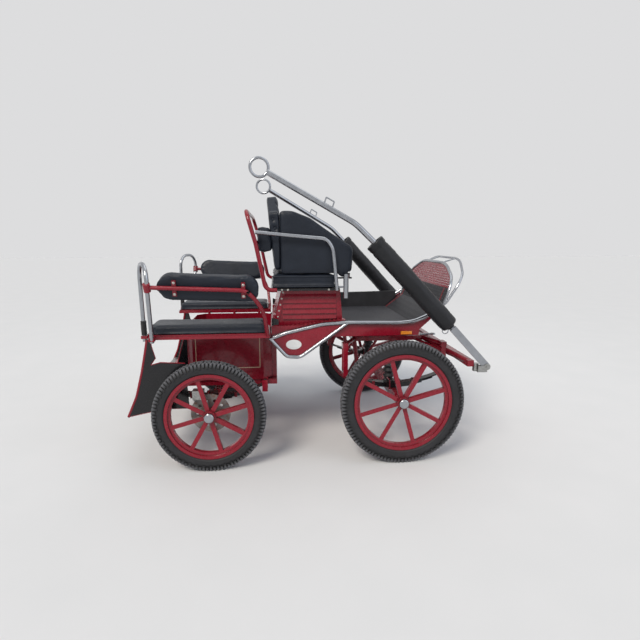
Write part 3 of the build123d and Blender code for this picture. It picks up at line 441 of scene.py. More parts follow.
# THE TYRES: moulded black rubber with square knobs in rows around the tread, the shoulder
# knobs staggered against the crown knobs, and a smooth side wall with two moulded ribs.
def tyre_rubber(name, axle):
    """Moulded tyre rubber: matt near black, greyed by dried dust, with fine rings on the wall."""
    made, tree, shader, place = begin(name)
    dried = cloud(tree, place, 14.0, 8.0, 0.7)
    body = tint(tree, ramp(tree, dried, 0.42, 0.78, 0.0, 0.55), "#17181B", "#36353A")
    reach = from_axle(tree, place, axle)
    # the knobs are scuffed pale on top, and painted shade darkens the grooves between them
    groove = add(tree, "ShaderNodeAmbientOcclusion", {"Distance": 0.009}, samples=6).outputs["AO"]
    pale = tint(tree, ramp(tree, reach, axle.z - 0.026, axle.z - 0.004), body, "#5C5D61")
    with_painted_hollow_shade = tint(tree, ramp(tree, groove, 0.45, 0.9), "#060607", pale)
    # mould rings 6 mm apart
    ring = calc(tree, "SINE", calc(tree, "MULTIPLY", reach, 1047.0))
    height = calc(tree, "MULTIPLY_ADD", ring, 0.25, cloud(tree, place, 600.0, 2.0))
    fill(tree, shader, {
        "Base Color": with_painted_hollow_shade,
        "Roughness": ramp(tree, dried, 0.0, 1.0, 0.55, 0.85),
        "Normal": relief(tree, height, 0.25, 0.0008),
        "IOR": 1.5,
    })
    return made


def wheel_spot(centre, r, a, y):
    """A place on a wheel, r out at angle a and y along its axis from the centre, in millimetres."""
    return centre + Vector((r * math.cos(a), y, r * math.sin(a))) / 1000


def knob(shape, centre, angle, step, inner, outer, y0, y1, lean):
    """Adds one tread knob: a block on the tyre from radius inner to outer, across y0 to y1."""
    corners = []
    mid = (y0 + y1) / 2
    for r, shrink in ((inner, 1.0), (outer, 0.8)):
        half = step * 0.5 * shrink
        for da, w in ((-half, y0), (half, y0), (half, y1), (-half, y1)):
            across = mid + (w - mid) * shrink
            drop = lean * abs(across - y0) if abs(y1) > abs(y0) else 0
            corners.append(shape.verts.new(wheel_spot(centre, r - drop, angle + da / inner, across)))
    for quad in ((0, 1, 5, 4), (1, 2, 6, 5), (2, 3, 7, 6), (3, 0, 4, 7), (4, 5, 6, 7)):
        shape.faces.new([corners[k] for k in quad])


HALF_TRACK = 640
for end, axle_x, tip, seat, knobs in (("front", 1080, 355, 266.7, 104), ("rear", 0, 310, 228.6, 92)):
    rubber = tyre_rubber(f"moulded {end} tyre rubber", at(axle_x, 0, tip))
    # (radius, across) from the bead out over the ribs to the crown
    half_wall = [(seat + r, y) for r, y in ((1, 24.6), (14.5, 24.6), (17, 29), (22, 33), (24, 34.5), (26, 34))]
    half_wall += [(seat + 34, 36.5), (seat + 44, 37)]
    half_wall += [(tip - r, y) for r, y in ((31, 36.5), (24, 34), (17, 28), (12, 20), (11, 8))]
    wall = half_wall + [(r, -y) for r, y in reversed(half_wall)]
    for side_name, side in SIDES:
        shape = bmesh.new()
        middle = at(axle_x, side * HALF_TRACK, tip)
        rows = [[shape.verts.new(wheel_spot(middle, r, a, y)) for r, y in wall] for a in around(96)]
        for low, high in zip(rows, rows[1:] + rows[:1]):
            for k in range(len(wall) - 1):
                shape.faces.new((low[k], low[k + 1], high[k + 1], high[k]))
        pitch = 2 * math.pi / knobs
        for n in range(knobs):
            angle = n * pitch
            for way in (-1, 1):
                # long and short shoulder knobs by turns, then the crown knobs half a pitch on
                low = tip - (28 if n % 2 else 21)
                knob(shape, middle, angle, 12.5, low, tip - 2.0, way * 25, way * 41, 0.4)
                knob(shape, middle, angle + pitch / 2, 13.5, tip - 13, tip, way * 9, way * 22, 0.02)
            if n % 2:
                knob(shape, middle, angle, 15, tip - 13, tip, -6.5, 6.5, 0)
        outward(shape)
        tyre = piece(f"knobbed_tyre_{end}_{side_name}", shape, rubber, f"{end}_wheel_{side_name}", 34)
        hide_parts(f"{end}_tyre_{side_name}")


# THE FRONT TRAY: a folded steel tray with side skirts and a footboard, sprayed red, with
# ribbed steps beside the seat box, drop-shaped side panels and a small reflector each side.
coat(red_enamel, "front_tray", "side_panels", "step_treads")

amber_lens, tree, shader, place = begin("moulded amber reflector acrylic")
# the prisms moulded in its back, 3 mm, under a clear face, with their sparkle painted into the colour as painted glints
prisms = add(tree, "ShaderNodeTexVoronoi", {"Scale": 330.0, "Vector": place}).outputs["Distance"]
fill(tree, shader, {
    "Base Color": tint(tree, prisms, "#C4620F", "#EE9A2B"),
    "Normal": relief(tree, prisms, 0.4, 0.001),
    "Roughness": 0.25,
    "Coat Weight": 1.0,
    "Coat Roughness": 0.05,
})
coat(amber_lens, "side_reflectors")

# A blank oval plate of white enamelled steel is riveted to each drop-shaped panel.
white_plate = mottled("white stove enamel on a steel plate", "#C9CBCA", "#E3E4E2", (70.0, 6.0), 0.28,
                      coat_weight=0.4)
PANEL_FACE = 463.6
for side_name, side in SIDES:
    plate = bmesh.new()
    rings = []
    for grow, raised in ((1.0, 0.0), (1.0, 1.0), (0.95, 1.6), (0.6, 1.9), (0.0, 2.0)):
        ring = [(472 + 45 * grow * math.cos(a), 662 + 29 * grow * math.sin(a)) for a in around(48)]
        rings.append([plate.verts.new(at(x, side * (PANEL_FACE + raised), z)) for x, z in ring])
    strips(plate, rings)
    bmesh.ops.remove_doubles(plate, verts=plate.verts, dist=0.00001)
    outward(plate)
    piece(f"blank_oval_plate_{side_name}", plate, white_plate, "carriage", 40)


# THE FLOOR LINING: a black rubber mat with a fine raised stud, glued to the floor and up the
# footboard, its side edges sewn with red thread. The left side board is covered in the same.
studded_mat, tree, shader, place = begin("moulded studded rubber mat")
# studs 7 mm apart; their tops are painted a pale bluish grey, a painted reflection of the sky in small soft specks
studs = {"Scale": 143.0, "Randomness": 0.15, "Vector": place}
studs = add(tree, "ShaderNodeTexVoronoi", studs, feature="F1").outputs["Distance"]
dried = cloud(tree, place, 12.0, 7.0, 0.65)
ground = tint(tree, ramp(tree, dried, 0.4, 0.8, 0.0, 0.6), "#1B1C20", "#34343A")
fill(tree, shader, {
    "Base Color": tint(tree, ramp(tree, studs, 0.12, 0.34, 0.75, 0.0), ground, "#62656D"),
    "Roughness": ramp(tree, dried, 0.0, 1.0, 0.42, 0.7),
    "Normal": relief(tree, ramp(tree, studs, 0.0, 0.5, 1.0, 0.0), 0.6, 0.0012),
})
coat(studded_mat, "floor_lining", "left_side_board")

DASH_FOOT_X, DASH_FOOT_Z = 1350, 850
DASH_LEAN = math.radians(21)


def up_dash(s, off, y):
    """A place s up the leaning dash from its foot and off behind its plane, in millimetres."""
    x = DASH_FOOT_X + s * math.sin(DASH_LEAN) - off * math.cos(DASH_LEAN)
    return at(x, y, DASH_FOOT_Z + s * math.cos(DASH_LEAN) + off * math.sin(DASH_LEAN))


red_thread = mottled("twisted red polyester thread", "#8E1F2C", "#C23A48", (400.0, 2.0), 0.7)
for side_name, side in SIDES:
    seam = bmesh.new()
    for row in (0, 8):
        y = side * (392 - row)
        line = [at(1216.6, y, 757.5), at(1342.8, y, 854.2), up_dash(12, 8.6, y), up_dash(131, 8.6, y)]
        for a, b in zip(line, line[1:]):
            # a stitch every 9 mm
            count = max(1, int((b - a).length / 0.009))
            for n in range(count):
                lay_bar(seam, [a.lerp(b, (n + 0.12) / count), a.lerp(b, (n + 0.84) / count)], 0.0011, 5)
    piece(f"lining_stitches_{side_name}", seam, red_thread, "carriage", 60)


# THE DASH: an arched steel sheet in a bent stainless tube. Its upper part is punched with
# round holes in staggered rows so that the driver sees through it, and all of it is red.
def rounded(points, radii, steps=8):
    """A closed outline of (a, b) points with its corners turned to the given radii."""
    made = []
    for k, r in enumerate(radii):
        here = Vector(points[k])
        if r <= 0:
            made.append(here)
            continue
        back = (Vector(points[k - 1]) - here).normalized()
        ahead = (Vector(points[(k + 1) % len(points)]) - here).normalized()
        half_angle = back.angle(ahead) / 2
        centre = here + (back + ahead).normalized() * (r / math.sin(half_angle))
        a = here + back * (r / math.tan(half_angle)) - centre
        b = here + ahead * (r / math.tan(half_angle)) - centre
        turn = a.angle_signed(b)
        made += [centre + Matrix.Rotation(-turn * n / steps, 2) @ a for n in range(steps + 1)]
    return made


def inside_by(spot, outline):
    """How far a spot lies inside a convex outline."""
    runs = [(a, b - a) for a, b in zip(outline, outline[1:] + outline[:1]) if (b - a).length > 1e-6]
    return min(abs(run.cross(spot - a)) / run.length for a, run in runs)


HOLE_PITCH = 17.0
HOLE_R = 5.4
HOLE_SIDES = 10
EDGE_GAP = 9.3
SHEET_HALF_T = 1.25
half = 450 - EDGE_GAP
shoulder = 288 * 0.66 - EDGE_GAP * 0.55
crown = 288 - EDGE_GAP
arch = [(-half, 2), (-half, shoulder), (-half * 0.5, crown), (half * 0.5, crown), (half, shoulder), (half, 2)]
arch = rounded(arch, [0] + [r - EDGE_GAP for r in (130, 380, 380, 130)] + [0])
spots = list(arch)
edges = [(k, (k + 1) % len(arch)) for k in range(len(arch))]
holes = []
row = 0
s = 152.0
while s < crown:
    y = -half + (HOLE_PITCH / 2 if row % 2 else 0)
    while y < half:
        here = Vector((y, s))
        within = abs(y) < half - 14 and s < crown - 14
        below_arch = abs(y) < half * 0.5 or s < crown - (abs(y) - half * 0.5) * 0.46
        if within and below_arch and inside_by(here, arch) > 15:
            start = len(spots)
            holes.append(here)
            spots += [here + HOLE_R * Vector((math.cos(a), math.sin(a))) for a in around(HOLE_SIDES)]
            edges += [(start + n, start + (n + 1) % HOLE_SIDES) for n in range(HOLE_SIDES)]
        y += HOLE_PITCH
    s += HOLE_PITCH * math.sqrt(3) / 2
    row += 1
flat_spots, _, flat_faces, *_ = delaunay_2d_cdt(spots, edges, [], 2, 0.001)


def is_sheet(face):
    """Whether a triangle of the flat sheet lies outside every hole."""
    middle = sum((flat_spots[k] for k in face), Vector((0, 0))) / len(face)
    return min((middle - hole).length for hole in holes) > HOLE_R * 0.96


punched = bmesh.new()
sheet_faces = [face for face in flat_faces if is_sheet(face)]
for off in (-SHEET_HALF_T, SHEET_HALF_T):
    layer = [punched.verts.new(up_dash(p.y, off, p.x)) for p in flat_spots]
    for face in sheet_faces:
        punched.faces.new([layer[k] for k in (face if off < 0 else reversed(face))])
rims = [e for e in punched.edges if len(e.link_faces) == 1]
count = len(flat_spots)
punched.verts.ensure_lookup_table()
punched.verts.index_update()
for a, b in [[v.index for v in e.verts] for e in rims]:
    if a < count:
        punched.faces.new([punched.verts[k] for k in (a, b, b + count, a + count)])
outward(punched)
dash = piece("punched_dash_sheet", punched, red_enamel, "carriage", 30)
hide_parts("dash_sheet")


# THE REAR SIDE PLATES hang from the benches beside the wheels to keep mud off the step: black
# sheet with a tube down the rear edge, which is sprayed red over the black. The lower edge and
# the edges of the cut-out are folded over and painted with it.
coat(black_enamel, "rear_side_plates")
REAR_EDGE = [(-331, 727), (-342, 668), (-368, 545), (-404, 408), (-455.6, 291)]
FOLDED_EDGES = (
    (0.0022, [(-452, 292), (-325, 318), (-218, 332), (-122, 332)]),
    (0.0022, [(-311, 726), (-308, 694), (-290, 624), (-317, 587)]),
    (0.003, [(-316, 586), (-266, 600), (-134, 592)]),
)
for side_name, side in SIDES:
    trim = bmesh.new()
    tube = bent([(x, side * 563, z) for x, z in REAR_EDGE], [300, 300, 300])
    lay_bar(trim, [at(*p) for p in tube], 0.0076, 14)
    for radius, run in FOLDED_EDGES:
        lay_bar(trim, [at(x, side * 567, z) for x, z in run], radius, 6)
    piece(f"rear_plate_red_edge_{side_name}", trim, red_enamel, "carriage", 50)


# THE BENCHES: square tube frames with a bent rail behind, sprayed red, each with a long flat
# cushion and a back pad, foam on plywood under black vinyl cloth pulled tight and stapled.
coat(red_enamel, "bench_frames", "seat_back_frame", "seat_box")


def vinyl(name, dark, light, grain_mm, crease):
    """Coated vinyl cloth over foam: black with a soft shine and a pressed leather grain."""
    made, tree, shader, place = begin(name)
    drift = cloud(tree, place, 7.0, 5.0)
    # the pressed grain, drawn about twice as coarse as the real 1 mm so that it shows
    grain = {"Scale": 1000.0 / grain_mm, "Vector": place}
    grain = add(tree, "ShaderNodeTexVoronoi", grain, feature="DISTANCE_TO_EDGE").outputs["Distance"]
    pulled = cloud(tree, place, 22.0, 4.0, distortion=0.6)
    fill(tree, shader, {
        "Base Color": tint(tree, drift, dark, light),
        "Roughness": ramp(tree, drift, 0.3, 0.7, 0.3, 0.46),
        "Normal": relief(tree, calc(tree, "MULTIPLY_ADD", pulled, crease, grain), 0.35, 0.0012),
        # a dulled plasticised skin reflects less at a flat angle than clear plastic does
        "IOR": 1.33,
    })
    return made


seat_vinyl = vinyl("black grained vinyl cloth", "#161A21", "#262C37", 2.2, 4.5)


def baked_mesh(made):
    """The mesh of an object as its modifiers leave it, which then come off."""
    bpy.context.view_layer.update()
    mesh = bpy.data.meshes.new_from_object(made.evaluated_get(bpy.context.evaluated_depsgraph_get()))
    made.modifiers.clear()
    return mesh


def stuffed(name, block, body, grid, swell, hold=None, shrink=0.003, true=None, soften=0):
    """The foam pad that a plain block stands for, given as a node's name or a bmesh: its skin is cut
    anew as even cloth and blown up against its own stiffness. hold gives a point's share of the swell,
    0 where the pad rests on something; true moves a point of the block to where the real pad has it."""
    node = block if isinstance(block, str) else None
    skin = bmesh.new() if node else block
    if node:
        skin.from_mesh(frame["nodes"][node].data)
    bmesh.ops.remove_doubles(skin, verts=skin.verts, dist=0.00002)
    mesh = bpy.data.meshes.new(name)
    skin.to_mesh(mesh)
    skin.free()
    pad = bpy.data.objects.new("unfinished_pad", mesh)
    scene.collection.objects.link(pad)
    even = pad.modifiers.new("even_skin", "REMESH")
    even.mode = "VOXEL"
    even.voxel_size = grid
    if soften:
        roll = pad.modifiers.new("rolled_edges", "SMOOTH")
        roll.factor, roll.iterations = 0.5, soften
    cut = baked_mesh(pad)
    pad.data = cut
    if true:
        for v in cut.vertices:
            v.co = true(v.co)
        cut.update()
    rest = np.array([v.co for v in cut.vertices])
    normals = np.array([v.normal for v in cut.vertices])
    share = np.ones(len(rest)) if hold is None else np.array([hold(Vector(p)) for p in rest])
    start = rest - normals * shrink * share[:, None]
    cut.vertices.foreach_set("co", start.ravel())
    scene.frame_start, scene.frame_end = 1, 20
    cloth = pad.modifiers.new("inflate", "CLOTH")
    cloth.point_cache.frame_start, cloth.point_cache.frame_end = 1, 20
    rules = cloth.settings
    rules.quality = 5
    rules.mass = 0.4
    rules.tension_stiffness = rules.compression_stiffness = 18
    rules.shear_stiffness = 12
    rules.bending_stiffness = 2.5
    rules.use_pressure = True
    rules.uniform_pressure_force = 4.0
    rules.effector_weights.gravity = 0.0
    for tick in range(1, 21):
        scene.frame_set(tick)
    blown = baked_mesh(pad)
    moved = np.array([v.co for v in blown.vertices]) - start
    bpy.data.meshes.remove(blown)
    scene.frame_set(1)
    moved -= moved.mean(0)
    length = np.linalg.norm(moved, axis=1)
    cap = np.where(length > swell, swell / np.maximum(length, 1e-9), 1.0)
    final = start + moved * (cap * share)[:, None]
    cut.vertices.foreach_set("co", final.ravel())
    cut.update()
    bpy.data.objects.remove(pad)
    pad = piece(name, cut, seat_vinyl, body, 180)
    smooth = pad.modifiers.new("fine_skin", "SUBSURF")
    smooth.levels = smooth.render_levels = 1
    if node:
        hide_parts(node)
    return pad


def skin_of(pad):
    """A pad's skin, to find places on it."""
    return BVHTree.FromObject(pad, bpy.context.evaluated_depsgraph_get())


def seated(pad, line, sink=0.0):
    """Moves a line of points onto a pad's skin."""
    skin = skin_of(pad)
    found = [skin.find_nearest(p) for p in line]
    return [spot - normal * sink for spot, normal, _, _ in found]


def dense(points, step, closed=True):
    """A line cut into short runs of about one length."""
    made = []
    for a, b in zip(points, points[1:] + (points[:1] if closed else [])):
        count = max(1, round((b - a).length / step))
        made += [a.lerp(b, n / count) for n in range(count)]
    return made


def bench_hold(p):
    """The cushion lies on its board: only its sides and top can swell."""
    return clamp((p.z - 0.7575) / 0.012)


RAIL = ((-262, 737, 1030), (215, 737, 1011), (304, 700, 935), (324, 592, 744))
for side_name, side in SIDES:
    cushion = stuffed(f"bench_seat_pad_{side_name}", f"bench_cushion_{side_name}", "carriage", 0.007, 0.008, bench_hold)
    welt = bmesh.new()
    outline = rounded([(-330, 339), (-330, 540), (-288, 585), (317, 585), (317, 339)], [14] * 5, 5)
    for z, r in ((789.5, 0.0017), (762.5, 0.0014)):
        loop = dense([at(p.x, side * p.y, z) for p in outline], 0.012)
        lay_bar(welt, seated(cushion, loop, 0.0002), r, 6, closed=True)
    piece(f"bench_seat_welt_{side_name}", welt, seat_vinyl, "carriage", 60)
    rail = [at(x, side * y, z) for x, y, z in RAIL]

    def back_hold(p):
        """The pad is pressed flat where the rail runs behind it."""
        gap = 1.0
        for a, b in zip(rail, rail[1:]):
            t = clamp((p - a).dot(b - a) / (b - a).length_squared)
            gap = min(gap, (p - a.lerp(b, t)).length)
        return clamp((gap - 0.022) / 0.02)

    stuffed(f"bench_back_pad_{side_name}", f"bench_back_{side_name}", "carriage", 0.006, 0.006, back_hold)

fixings_steel = mottled("zinc plated bolt heads", "#9C9A95", "#CFCDC8", (260.0, 3.0), 0.34, 1.0)


def bolt_head(shape, spot, way, r):
    """Adds a domed bolt head on a washer, standing along way."""
    way = Vector(way).normalized()
    first = way.orthogonal().normalized()
    second = way.cross(first)
    rings = []
    for out, up in ((1.45, 0.0), (1.45, 0.22), (1.0, 0.24), (0.95, 0.6), (0.72, 0.86), (0.3, 1.0)):
        ring = [(first * math.cos(a) + second * math.sin(a)) * r * out for a in around(12)]
        rings.append([shape.verts.new(spot + p + way * r * up) for p in ring])
    strips(shape, rings)
    shape.faces.new(rings[-1])


CLAMP_TILT = math.radians(15)
for side_name, side in SIDES:
    heads = bmesh.new()
    for x in (-136.0, 208.0):
        # the rail falls from 1030 to 1011 mm over its length
        z = 1030 - 19 * (x + 262) / 477
        for up in (-31, 31):
            y = 731 + up * math.sin(CLAMP_TILT) + 6 * math.cos(CLAMP_TILT)
            spot = at(x, side * y, z + up * math.cos(CLAMP_TILT) - 6 * math.sin(CLAMP_TILT))
            bolt_head(heads, spot, (0, side * math.cos(CLAMP_TILT), -math.sin(CLAMP_TILT)), 0.0052)
    piece(f"back_clamp_bolts_{side_name}", heads, fixings_steel, "carriage", 40)


# Each hoop's rear leg wears a ribbed rubber sleeve above the frame, for a boot on the step, and a
# black gusset plate stiffens the rear corner of the well under the bench.
for side_name, side in SIDES:
    grip = bmesh.new()
    low, high = at(-346.3, side * 546.6, 752), at(-347.1, side * 549.6, 832)
    radii = [0.0122] + [0.0158 if n % 4 in (1, 2) else 0.0138 for n in range(1, 40)] + [0.0122]
    lay_bar(grip, [low.lerp(high, n / 40) for n in range(41)], radii, 20)
    piece(f"hoop_grip_sleeve_{side_name}", grip, bump_rubber, "carriage", 40)
    gusset = bmesh.new()
    outline = [(-174, 730), (-174, 422), (-262, 422)]
    slab(gusset, [[at(x, side * y, z) for x, z in outline] for y in (261, 265)])
    bmesh.ops.bevel(gusset, geom=gusset.edges[:], offset=0.0008, segments=2, affect="EDGES")
    outward(gusset)
    piece(f"well_corner_gusset_{side_name}", gusset, black_enamel, "carriage", 30)
    trim = bmesh.new()
    lay_bar(trim, [at(-174, side * 263, 731), at(-264, side * 263, 421)], 0.004, 10)
    piece(f"gusset_red_edge_{side_name}", trim, red_enamel, "carriage", 40)


# THE DRIVER'S SEAT stands on a red sheet box with louvred sides: a black board, one thick
# cushion, a buttoned backrest in an arch and a thick rounded wing at each end, in the same vinyl.
coat(black_enamel, "seat_board")
for side_name, side in SIDES:
    heads = bmesh.new()
    # bolts through the board's edge strip, and down the flange of the box's rear corner
    for x in (408, 442, 680, 721):
        bolt_head(heads, at(x, side * 437.7, 979), (0, side, 0), 0.0042)
    flange = bmesh.new()
    outline = [(353.5, 752), (381.5, 752), (431, 971), (403, 971)]
    slab(flange, [[at(x, side * y, z) for x, z in outline] for y in (379.6, 383.2)])
    bmesh.ops.bevel(flange, geom=flange.edges[:], offset=0.0008, segments=2, affect="EDGES")
    outward(flange)
    piece(f"seat_box_flange_{side_name}", flange, red_enamel, "carriage", 30)
    for n in range(6):
        rise = 26 + 36 * n
        bolt_head(heads, at(367.5 + 0.226 * rise, side * 383.2, 752 + rise), (0, side, 0), 0.0038)
    piece(f"seat_bolts_{side_name}", heads, fixings_steel, "carriage", 40)
    # a black strap hinge at the foot of the flange, its barrel upright against the tray's skirt
    hinge = bmesh.new()
    barrel = [at(352, side * 456, z) for z in (774, 776, 790, 791, 792, 806, 807, 808, 818, 820)]
    knuckles = [0.003, 0.0052, 0.0052, 0.004, 0.0052, 0.0052, 0.004, 0.0052, 0.0052, 0.003]
    lay_bar(hinge, barrel, knuckles, 14)
    leaf = [(352, 776), (386, 780), (386, 812), (352, 817)]
    slab(hinge, [[at(x, side * y, z) for x, z in leaf] for y in (450.4, 453.6)])
    for z in (788, 805):
        bolt_head(hinge, at(369, side * 453.6, z), (0, side, 0), 0.003)
    outward(hinge)
    piece(f"seat_box_hinge_{side_name}", hinge, black_enamel, "carriage", 40)


def driver_hold(p):
    """The cushion lies on its board, and its right end is pressed down a little by the wing."""
    pressed = 0.6 if p.y < -0.352 and p.z > 1.05 else 1.0
    return pressed * clamp((p.z - 0.9885) / 0.02)


def settled(p):
    """The foam has settled: its top lies 8 mm lower than it was cut."""
    return Vector((p.x, p.y, 0.9856 + (p.z - 0.9856) * 80 / 88))


driver_pad = stuffed("driver_seat_pad", "driver_cushion", "carriage", 0.008, 0.012, driver_hold, 0.006, true=settled)
welt = bmesh.new()
outline = rounded([(349, -418), (726, -418), (726, 351), (349, 351)], [24] * 4, 6)
for z in (1004, 1028):
    loop = dense([at(p.x, p.y, z) for p in outline], 0.012)
    lay_bar(welt, seated(driver_pad, loop, 0.0003), 0.0022, 6, closed=True)
piece("driver_seat_welt", welt, seat_vinyl, "carriage", 60)

# three rolled folds where the cushion's cover is gathered round its rear end
folds = bmesh.new()
for z in (1003, 1025, 1047):
    run = [(346 + 6 * abs(math.sin(0.045 * y + z)), y, z + 2.5 * math.sin(0.021 * y + z)) for y in range(-400, 337, 16)]
    run = seated(driver_pad, [at(*p) for p in run], 0.001)
    lay_bar(folds, run, [0.002] + [0.0052] * (len(run) - 2) + [0.002], 8)
piece("cushion_rear_folds", folds, seat_vinyl, "carriage", 180)

# the near wing stands on the cushion's right end and runs on from the end of the backrest
WING_EDGE = [(395, 1064), (395, 1434), (470, 1433), (575, 1394), (706, 1304), (831, 1224), (825, 1111), (784, 1043)]
WING_FOOT = [(757, 1043), (737, 1064)]
WING_BENDS = [24, 90, 120, 200, 40, 40]
outline = rounded(WING_EDGE + WING_FOOT, [24] + WING_BENDS + [24, 26, 30])
near_wing = bmesh.new()
slab(near_wing, [[at(p.x, y, p.y) for p in outline] for y in (-356, -414)])
outward(near_wing)
wing = stuffed("driver_wing_pad_right", near_wing, "carriage", 0.007, 0.005, None, 0.002, soften=16)
stuffed("driver_wing_pad_left", "driver_wing", "carriage", 0.007, 0.005, None, 0.004)
welt = bmesh.new()
for depth in (-374, -396):
    line = bent([(x, depth, z) for x, z in WING_EDGE], WING_BENDS)
    loop = dense([at(*p) for p in line], 0.01, closed=False)
    lay_bar(welt, seated(wing, loop, 0.0004), 0.0019, 6)
piece("driver_wing_welt", welt, seat_vinyl, "carriage", 60)

lumbar = stuffed("lumbar_roll", "lumbar_pad", "carriage", 0.006, 0.006, None, 0.003)
# the roll stands higher than the block it is sewn round, and its front edges are rolled over
for v in lumbar.data.vertices:
    share = (v.co.z - 1.192) / 0.116
    v.co.z = 1.192 + share * 0.15
    if v.co.x > at(300, 0, 0).x:
        v.co.x -= 0.014 * (abs(share - 0.5) * 2) ** 4

LEAN = math.radians(6)
BACK_X, BACK_Y, BACK_Z = 400, -32, 1085
BUTTON_Y = 55.0
BUTTON_S = 58.0


def backrest_local(p):
    """(through the pad, across, up the pad) in millimetres from the foot of the backrest."""
    x = p.x * 1000 + MIDDLE - BACK_X
    z = p.z * 1000 - BACK_Z
    across = p.y * 1000 - BACK_Y
    return x * math.cos(LEAN) + z * math.sin(LEAN), across, -x * math.sin(LEAN) + z * math.cos(LEAN)


def backrest_at(through, y, s):
    """The place of such distances in the frame."""
    x = through * math.cos(LEAN) - s * math.sin(LEAN)
    return at(BACK_X + x, BACK_Y + y, BACK_Z + s * math.cos(LEAN) + through * math.sin(LEAN))


def sewn_back(p):
    """The arch is lower than the board behind it, and the right end is cut upright for the wing."""
    through, y, s = backrest_local(p)
    spot = backrest_at(through, y, s * 355 / 343 if s < 343 else 355 + (s - 343) * 97 / 157)
    if spot.y < -0.3565:
        spot.x = min(spot.x, at(396.7, 0, 0).x)
    return spot


rest_pad = stuffed("driver_back_pad", "driver_backrest", "carriage", 0.0065, 0.007, None, 0.004, true=sewn_back)
TOP_LINE = [(-390, 345), (-210, 355), (-130, 452), (130, 452), (210, 355), (390, 345)]


def top_at(y):
    """Height of the arched top at y across."""
    for (ya, sa), (yb, sb) in zip(TOP_LINE, TOP_LINE[1:]):
        if ya <= y <= yb:
            return sa + (sb - sa) * (y - ya) / (yb - ya)
    return 0.0


def tuft_margin(y, s):
    """How far a point lies inside the buttoned part, which ends at the wing."""
    return min(y + 322, 386 - y, s, top_at(y) - s)


def tuft_depth(y, s):
    """Rise of the padding at a point, in millimetres: full between the buttons, low at them and
    along the folds that join them in diamonds."""
    p = (y / BUTTON_Y - s / BUTTON_S) / 2
    q = (y / BUTTON_Y + s / BUTTON_S) / 2
    i, j = round(p), round(q)
    to_button = math.hypot(y - (i + j) * BUTTON_Y, s - (j - i) * BUTTON_S)
    to_fold = min(abs(p - i), abs(q - j)) * 2 * BUTTON_Y * BUTTON_S / math.hypot(BUTTON_Y, BUTTON_S)
    pillow = 6.0 * abs(math.sin(math.pi * p) * math.sin(math.pi * q))
    return pillow - 15.0 * math.exp(-(to_button / 13) ** 2) - 4.5 * math.exp(-(to_fold / 5.5) ** 2)


# two more buttons sit on the right end, near the top
END_PITS = [at(362, 0, 1378), at(374, 0, 1328)]
ahead = Vector((math.cos(LEAN), 0, math.sin(LEAN)))
dimpled = np.array([v.co for v in rest_pad.data.vertices])
for k, raw in enumerate(dimpled):
    through, y, s = backrest_local(Vector(raw))
    if through >= 4:
        fade = clamp((tuft_margin(y, s) - 4) / 26) * min(1.0, (through - 4) / 14)
        dimpled[k] = raw + np.array(ahead) * tuft_depth(y, s) * fade / 1000
    if dimpled[k][1] < -0.4:
        for pit in END_PITS:
            gap = math.hypot(dimpled[k][0] - pit.x, dimpled[k][2] - pit.z)
            dimpled[k][1] += 0.010 * math.exp(-(gap / 0.014) ** 2)
rest_pad.data.vertices.foreach_set("co", dimpled.ravel())
rest_pad.data.update()
skin = skin_of(rest_pad)
buttons = bmesh.new()
for i in range(-8, 9):
    for j in range(-1, 10):
        y, s = i * BUTTON_Y, j * BUTTON_S
        if (i + j) % 2 == 0 and tuft_margin(y, s) >= 22:
            spot, _, _, _ = skin.ray_cast(backrest_at(200, y, s), -ahead)
            if spot is not None:
                bolt_head(buttons, spot - ahead * 0.001, ahead, 0.0075)
for pit in END_PITS:
    spot, _, _, _ = skin.ray_cast(Vector((pit.x, -0.6, pit.z)), Vector((0, 1, 0)))
    bolt_head(buttons, spot + Vector((0, 0.001, 0)), (0, -1, 0), 0.0065)
piece("driver_back_buttons", buttons, seat_vinyl, "carriage", 50)


# THE SHAFT SLEEVES: stuffed leathercloth rolled round each shaft and sewn along its underside,
# with a turned-in mouth at the top and a folded end at the foot.
sleeve_vinyl = vinyl("black leathercloth sleeve", "#17181A", "#25262A", 2.6, 5.0)


def sleeve_axis(side, upward):
    """The foot and head of a sleeve, the way up it, and two ways across it, the first towards upward."""
    foot, head = at(1356, side * 626, 775), at(905, side * 581, 1258)
    way = (head - foot).normalized()
    over = Vector((0, 0, upward))
    over = (over - way * over.dot(way)).normalized()
    return foot, head, way, over, way.cross(over)


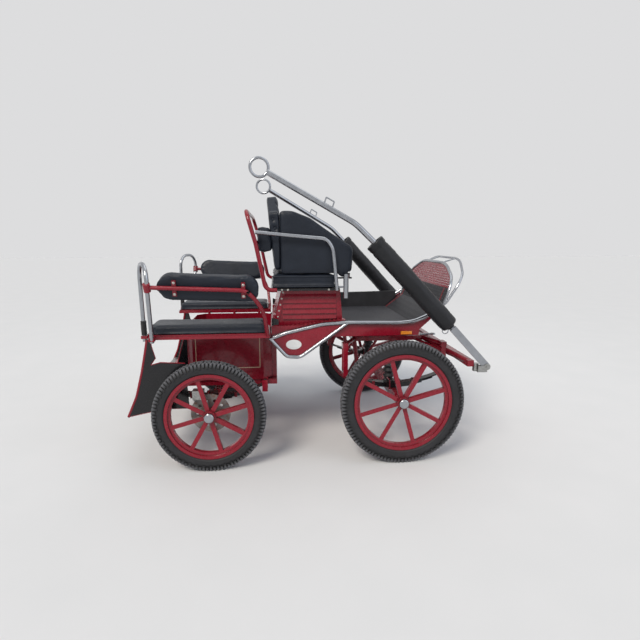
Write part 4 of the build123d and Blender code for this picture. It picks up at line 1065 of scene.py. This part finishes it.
# (share of the length, radius in millimetres) from inside the foot to inside the mouth
STATIONS = [(0.012, 19.0), (0.004, 26.0), (0.0, 36.0), (0.003, 44.0), (0.012, 49.0), (0.03, 50.5)]
STATIONS += [(0.03 + 0.94 * n / 70, 51.0) for n in range(1, 70)]
STATIONS += [(0.97, 51.0), (0.99, 51.8), (1.0, 49.0), (1.0, 42.0), (0.993, 36.0), (0.975, 31.0), (0.96, 24.0), (0.955, 18.5)]
for side_name, side in SIDES:
    foot, head, way, over, across = sleeve_axis(side, 1)
    first, last = foot.lerp(head, 0.03), foot.lerp(head, 0.985)
    shape = bmesh.new()
    rings = []
    for t, r in STATIONS:
        ring = []
        for a in around(48):
            bend = noise.noise(Vector((t * 9, math.cos(a) * 1.3, math.sin(a) * 1.3 + side * 5))) * 2.2
            pull = noise.noise(Vector((t * 46, math.cos(a) * 2.6 + 9, math.sin(a) * 2.6))) * 1.5
            # the cuff folded back at the mouth ends in a sewn edge
            cuff = 2.2 if t > 0.945 else (-2.0 if t > 0.925 else 0.0)
            # flattened a little by its own weight, and drawn in at the sewn line below
            seam = -3.5 * math.exp(-((a - math.pi) / 0.12) ** 2)
            rr = r + (bend + cuff + pull + seam) * clamp((r - 34) / 12)
            out = over * math.cos(a) * rr + across * math.sin(a) * rr * 0.99
            ring.append(shape.verts.new(first.lerp(last, t) + out / 1000))
        rings.append(ring)
    strips(shape, rings, wrap=True)
    outward(shape)
    sleeve = piece(f"stuffed_shaft_sleeve_{side_name}", shape, sleeve_vinyl, f"shaft_{side_name}", 180)
    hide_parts(f"shaft_sleeve_{side_name}")
    stitches = bmesh.new()
    for n in range(64):
        for turn in (math.pi - 0.16, math.pi + 0.16):
            out = (over * math.cos(turn) + across * math.sin(turn)) * 0.0512
            ends = [first.lerp(last, 0.04 + 0.92 * (n + part) / 64) + out for part in (0.15, 0.75)]
            lay_bar(stitches, seated(sleeve, ends, -0.0003), 0.0011, 5)
    piece(f"sleeve_stitches_{side_name}", stitches, sleeve_vinyl, f"shaft_{side_name}", 60)

# A welded ring on a short strap at the foot of each sleeve takes the breeching.
for side_name, side in SIDES:
    foot, head, way, lower, across = sleeve_axis(side, -1)
    spot = foot.lerp(head, 0.03) - way * 0.006
    strap = bmesh.new()
    turn = [spot + (lower * math.cos(a) + across * math.sin(a)) * 0.0195 for a in around(24)]
    for shift in (-0.006, -0.002, 0.002, 0.006):
        lay_bar(strap, [p + way * shift for p in turn], 0.0027, 6, closed=True)
    piece(f"sleeve_strap_{side_name}", strap, sleeve_vinyl, f"shaft_{side_name}", 60)
    ring = bmesh.new()
    hub = spot + lower * 0.038
    turn = [hub + (lower * math.cos(a) + way * math.sin(a)) * 0.0165 for a in around(28)]
    lay_bar(ring, turn, 0.0024, 10, closed=True)
    piece(f"sleeve_ring_{side_name}", ring, stainless, f"shaft_{side_name}", 180)


bpy.context.view_layer.update()
